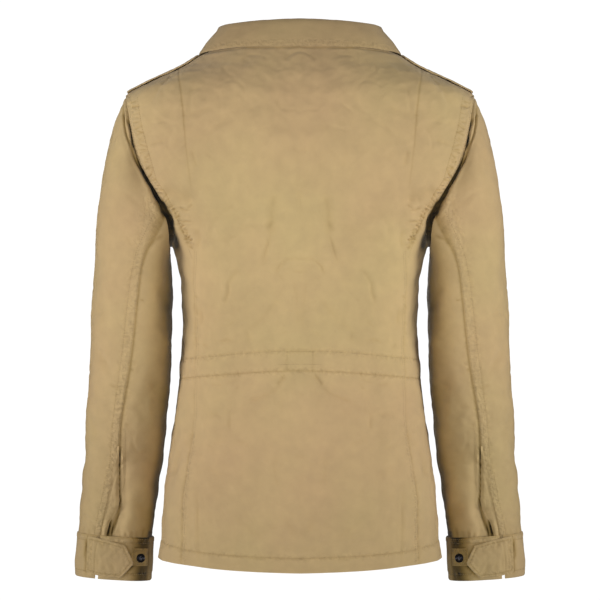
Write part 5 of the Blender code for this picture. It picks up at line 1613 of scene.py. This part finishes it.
def buttonSolid(centre, normal):
    normal = unit(np.array(normal, float))
    across = unit(np.cross(normal, [0.1, 0.2, 1.0]))
    other = np.cross(normal, across)
    angle = np.linspace(0, 2 * pi, buttonValues["steps"], endpoint=False)[None, :, None]
    radius, rise = (np.array(part)[:, None, None] for part in zip(*buttonValues["profile"]))
    points = centre + (across * np.cos(angle) + other * np.sin(angle)) * radius * buttonValues["radius"]
    points = points + normal * rise * buttonValues["height"]
    rings, count = points.shape[:2]
    faces = np.roll(gridFaces(rings, count, True)[:, ::-1], 1, axis=1)
    total, here = rings * count, np.arange(count)
    after = np.roll(here, -1)
    caps = [np.stack([total + 0 * here, after, here, here], -1),
            np.stack([total + 1 + 0 * here, here, after, after], -1) + (0, *[total - count] * 3)]
    points = np.concatenate([points.reshape(-1, 3), [centre, centre + normal * 0.64 * buttonValues["height"]]])
    return plainSolid(points, np.concatenate([faces, *caps]))


print("fixing the buttons")
for name, side in sides.items():
    turn, drop = np.array([cuffValues["buttonTurn"]]), np.array([cuffValues["buttonDrop"]])
    lift = cuffValues["gap"] + cuffValues["patchThickness"] + buttonValues["cuffLift"]
    seat, outward = (part[0] * (side, 1, 1) for part in (onCuff(drop, turn, np.array([lift])), cuffOutward(turn)))
    addPiece("cuff_button_piece_" + name, buttonSolid(seat, outward), ["cuff_button_" + name],
             darkMetal, "button_metal", 35)
for number, level in enumerate(buttonValues["frontLevels"], 1):
    point, normal, *_ = bodyRow(level, np.array([2.0]), 1, True)
    seat = point[0] + normal[0] * buttonValues["frontLift"]
    addPiece(f"front_button_piece_{number}", buttonSolid(seat, normal[0]), [f"front_button_{number}"],
             darkMetal, "button_metal", 35)


lightValues = {
    "key": {"place": (-2.65, 0.91, -0.35), "size": 1.2, "power": 4.35, "spread": 45},
    "fill": {"place": (2.65, 0.91, -0.35), "size": 1.2, "power": 4.35, "spread": 45},
    "behind": {"place": (0.0, 4.6, -0.3), "size": 1.2, "power": 4.35, "spread": 30},
    "front": {"place": (0.2, -4.0, 0.25), "size": 1.6, "power": 12, "spread": 60},
    "aimHeight": -0.22, "ambient": 0.04, "ground": 1.05, "floorHeight": -1450.0, "floorRadius": 1.5,
    "floorSteps": 96,
}
for name in ("key", "fill", "behind", "front"):
    values = lightValues[name]
    lamp = bpy.data.lights.new(name, "AREA")
    lamp.shape = "DISK"
    lamp.size = values["size"]
    lamp.energy = values["power"]
    lamp.spread = radians(values["spread"])
    holder = addObject(name, lamp)
    holder.location = values["place"]
    aim = Vector((0, 0, lightValues["aimHeight"])) - Vector(values["place"])
    holder.rotation_euler = aim.to_track_quat("-Z", "Y").to_euler()
world = bpy.data.worlds.new("studio")
bpy.context.scene.world = world
world.use_nodes = True
# the camera sees a white ground, while the cloth gets little light from it
seen, ambient = addNode(world.node_tree, "LightPath")["Is Camera Ray"], lightValues["ambient"]
plug(world.node_tree, world.node_tree.nodes["Background"],
     {"Color": (1, 1, 1, 1), "Strength": seen * (lightValues["ground"] - ambient) + ambient})
floorMesh = bpy.data.meshes.new("floor")
radius, count = lightValues["floorRadius"], lightValues["floorSteps"]
floorLevel = lightValues["floorHeight"] * toMetres
ring = [(radius * cos(2 * pi * i / count), radius * sin(2 * pi * i / count), floorLevel) for i in range(count)]
floorMesh.from_pydata(ring, [], [tuple(range(count))])
floor = addObject("floor", floorMesh)
floorFinish, floorTree, floorShader = newFinish("paleFloor")
values = finishValues["paleFloor"]
plug(floorTree, floorShader, {"Base Color": values["colour"], "Roughness": values["roughness"]})
floorMesh.materials.append(floorFinish)
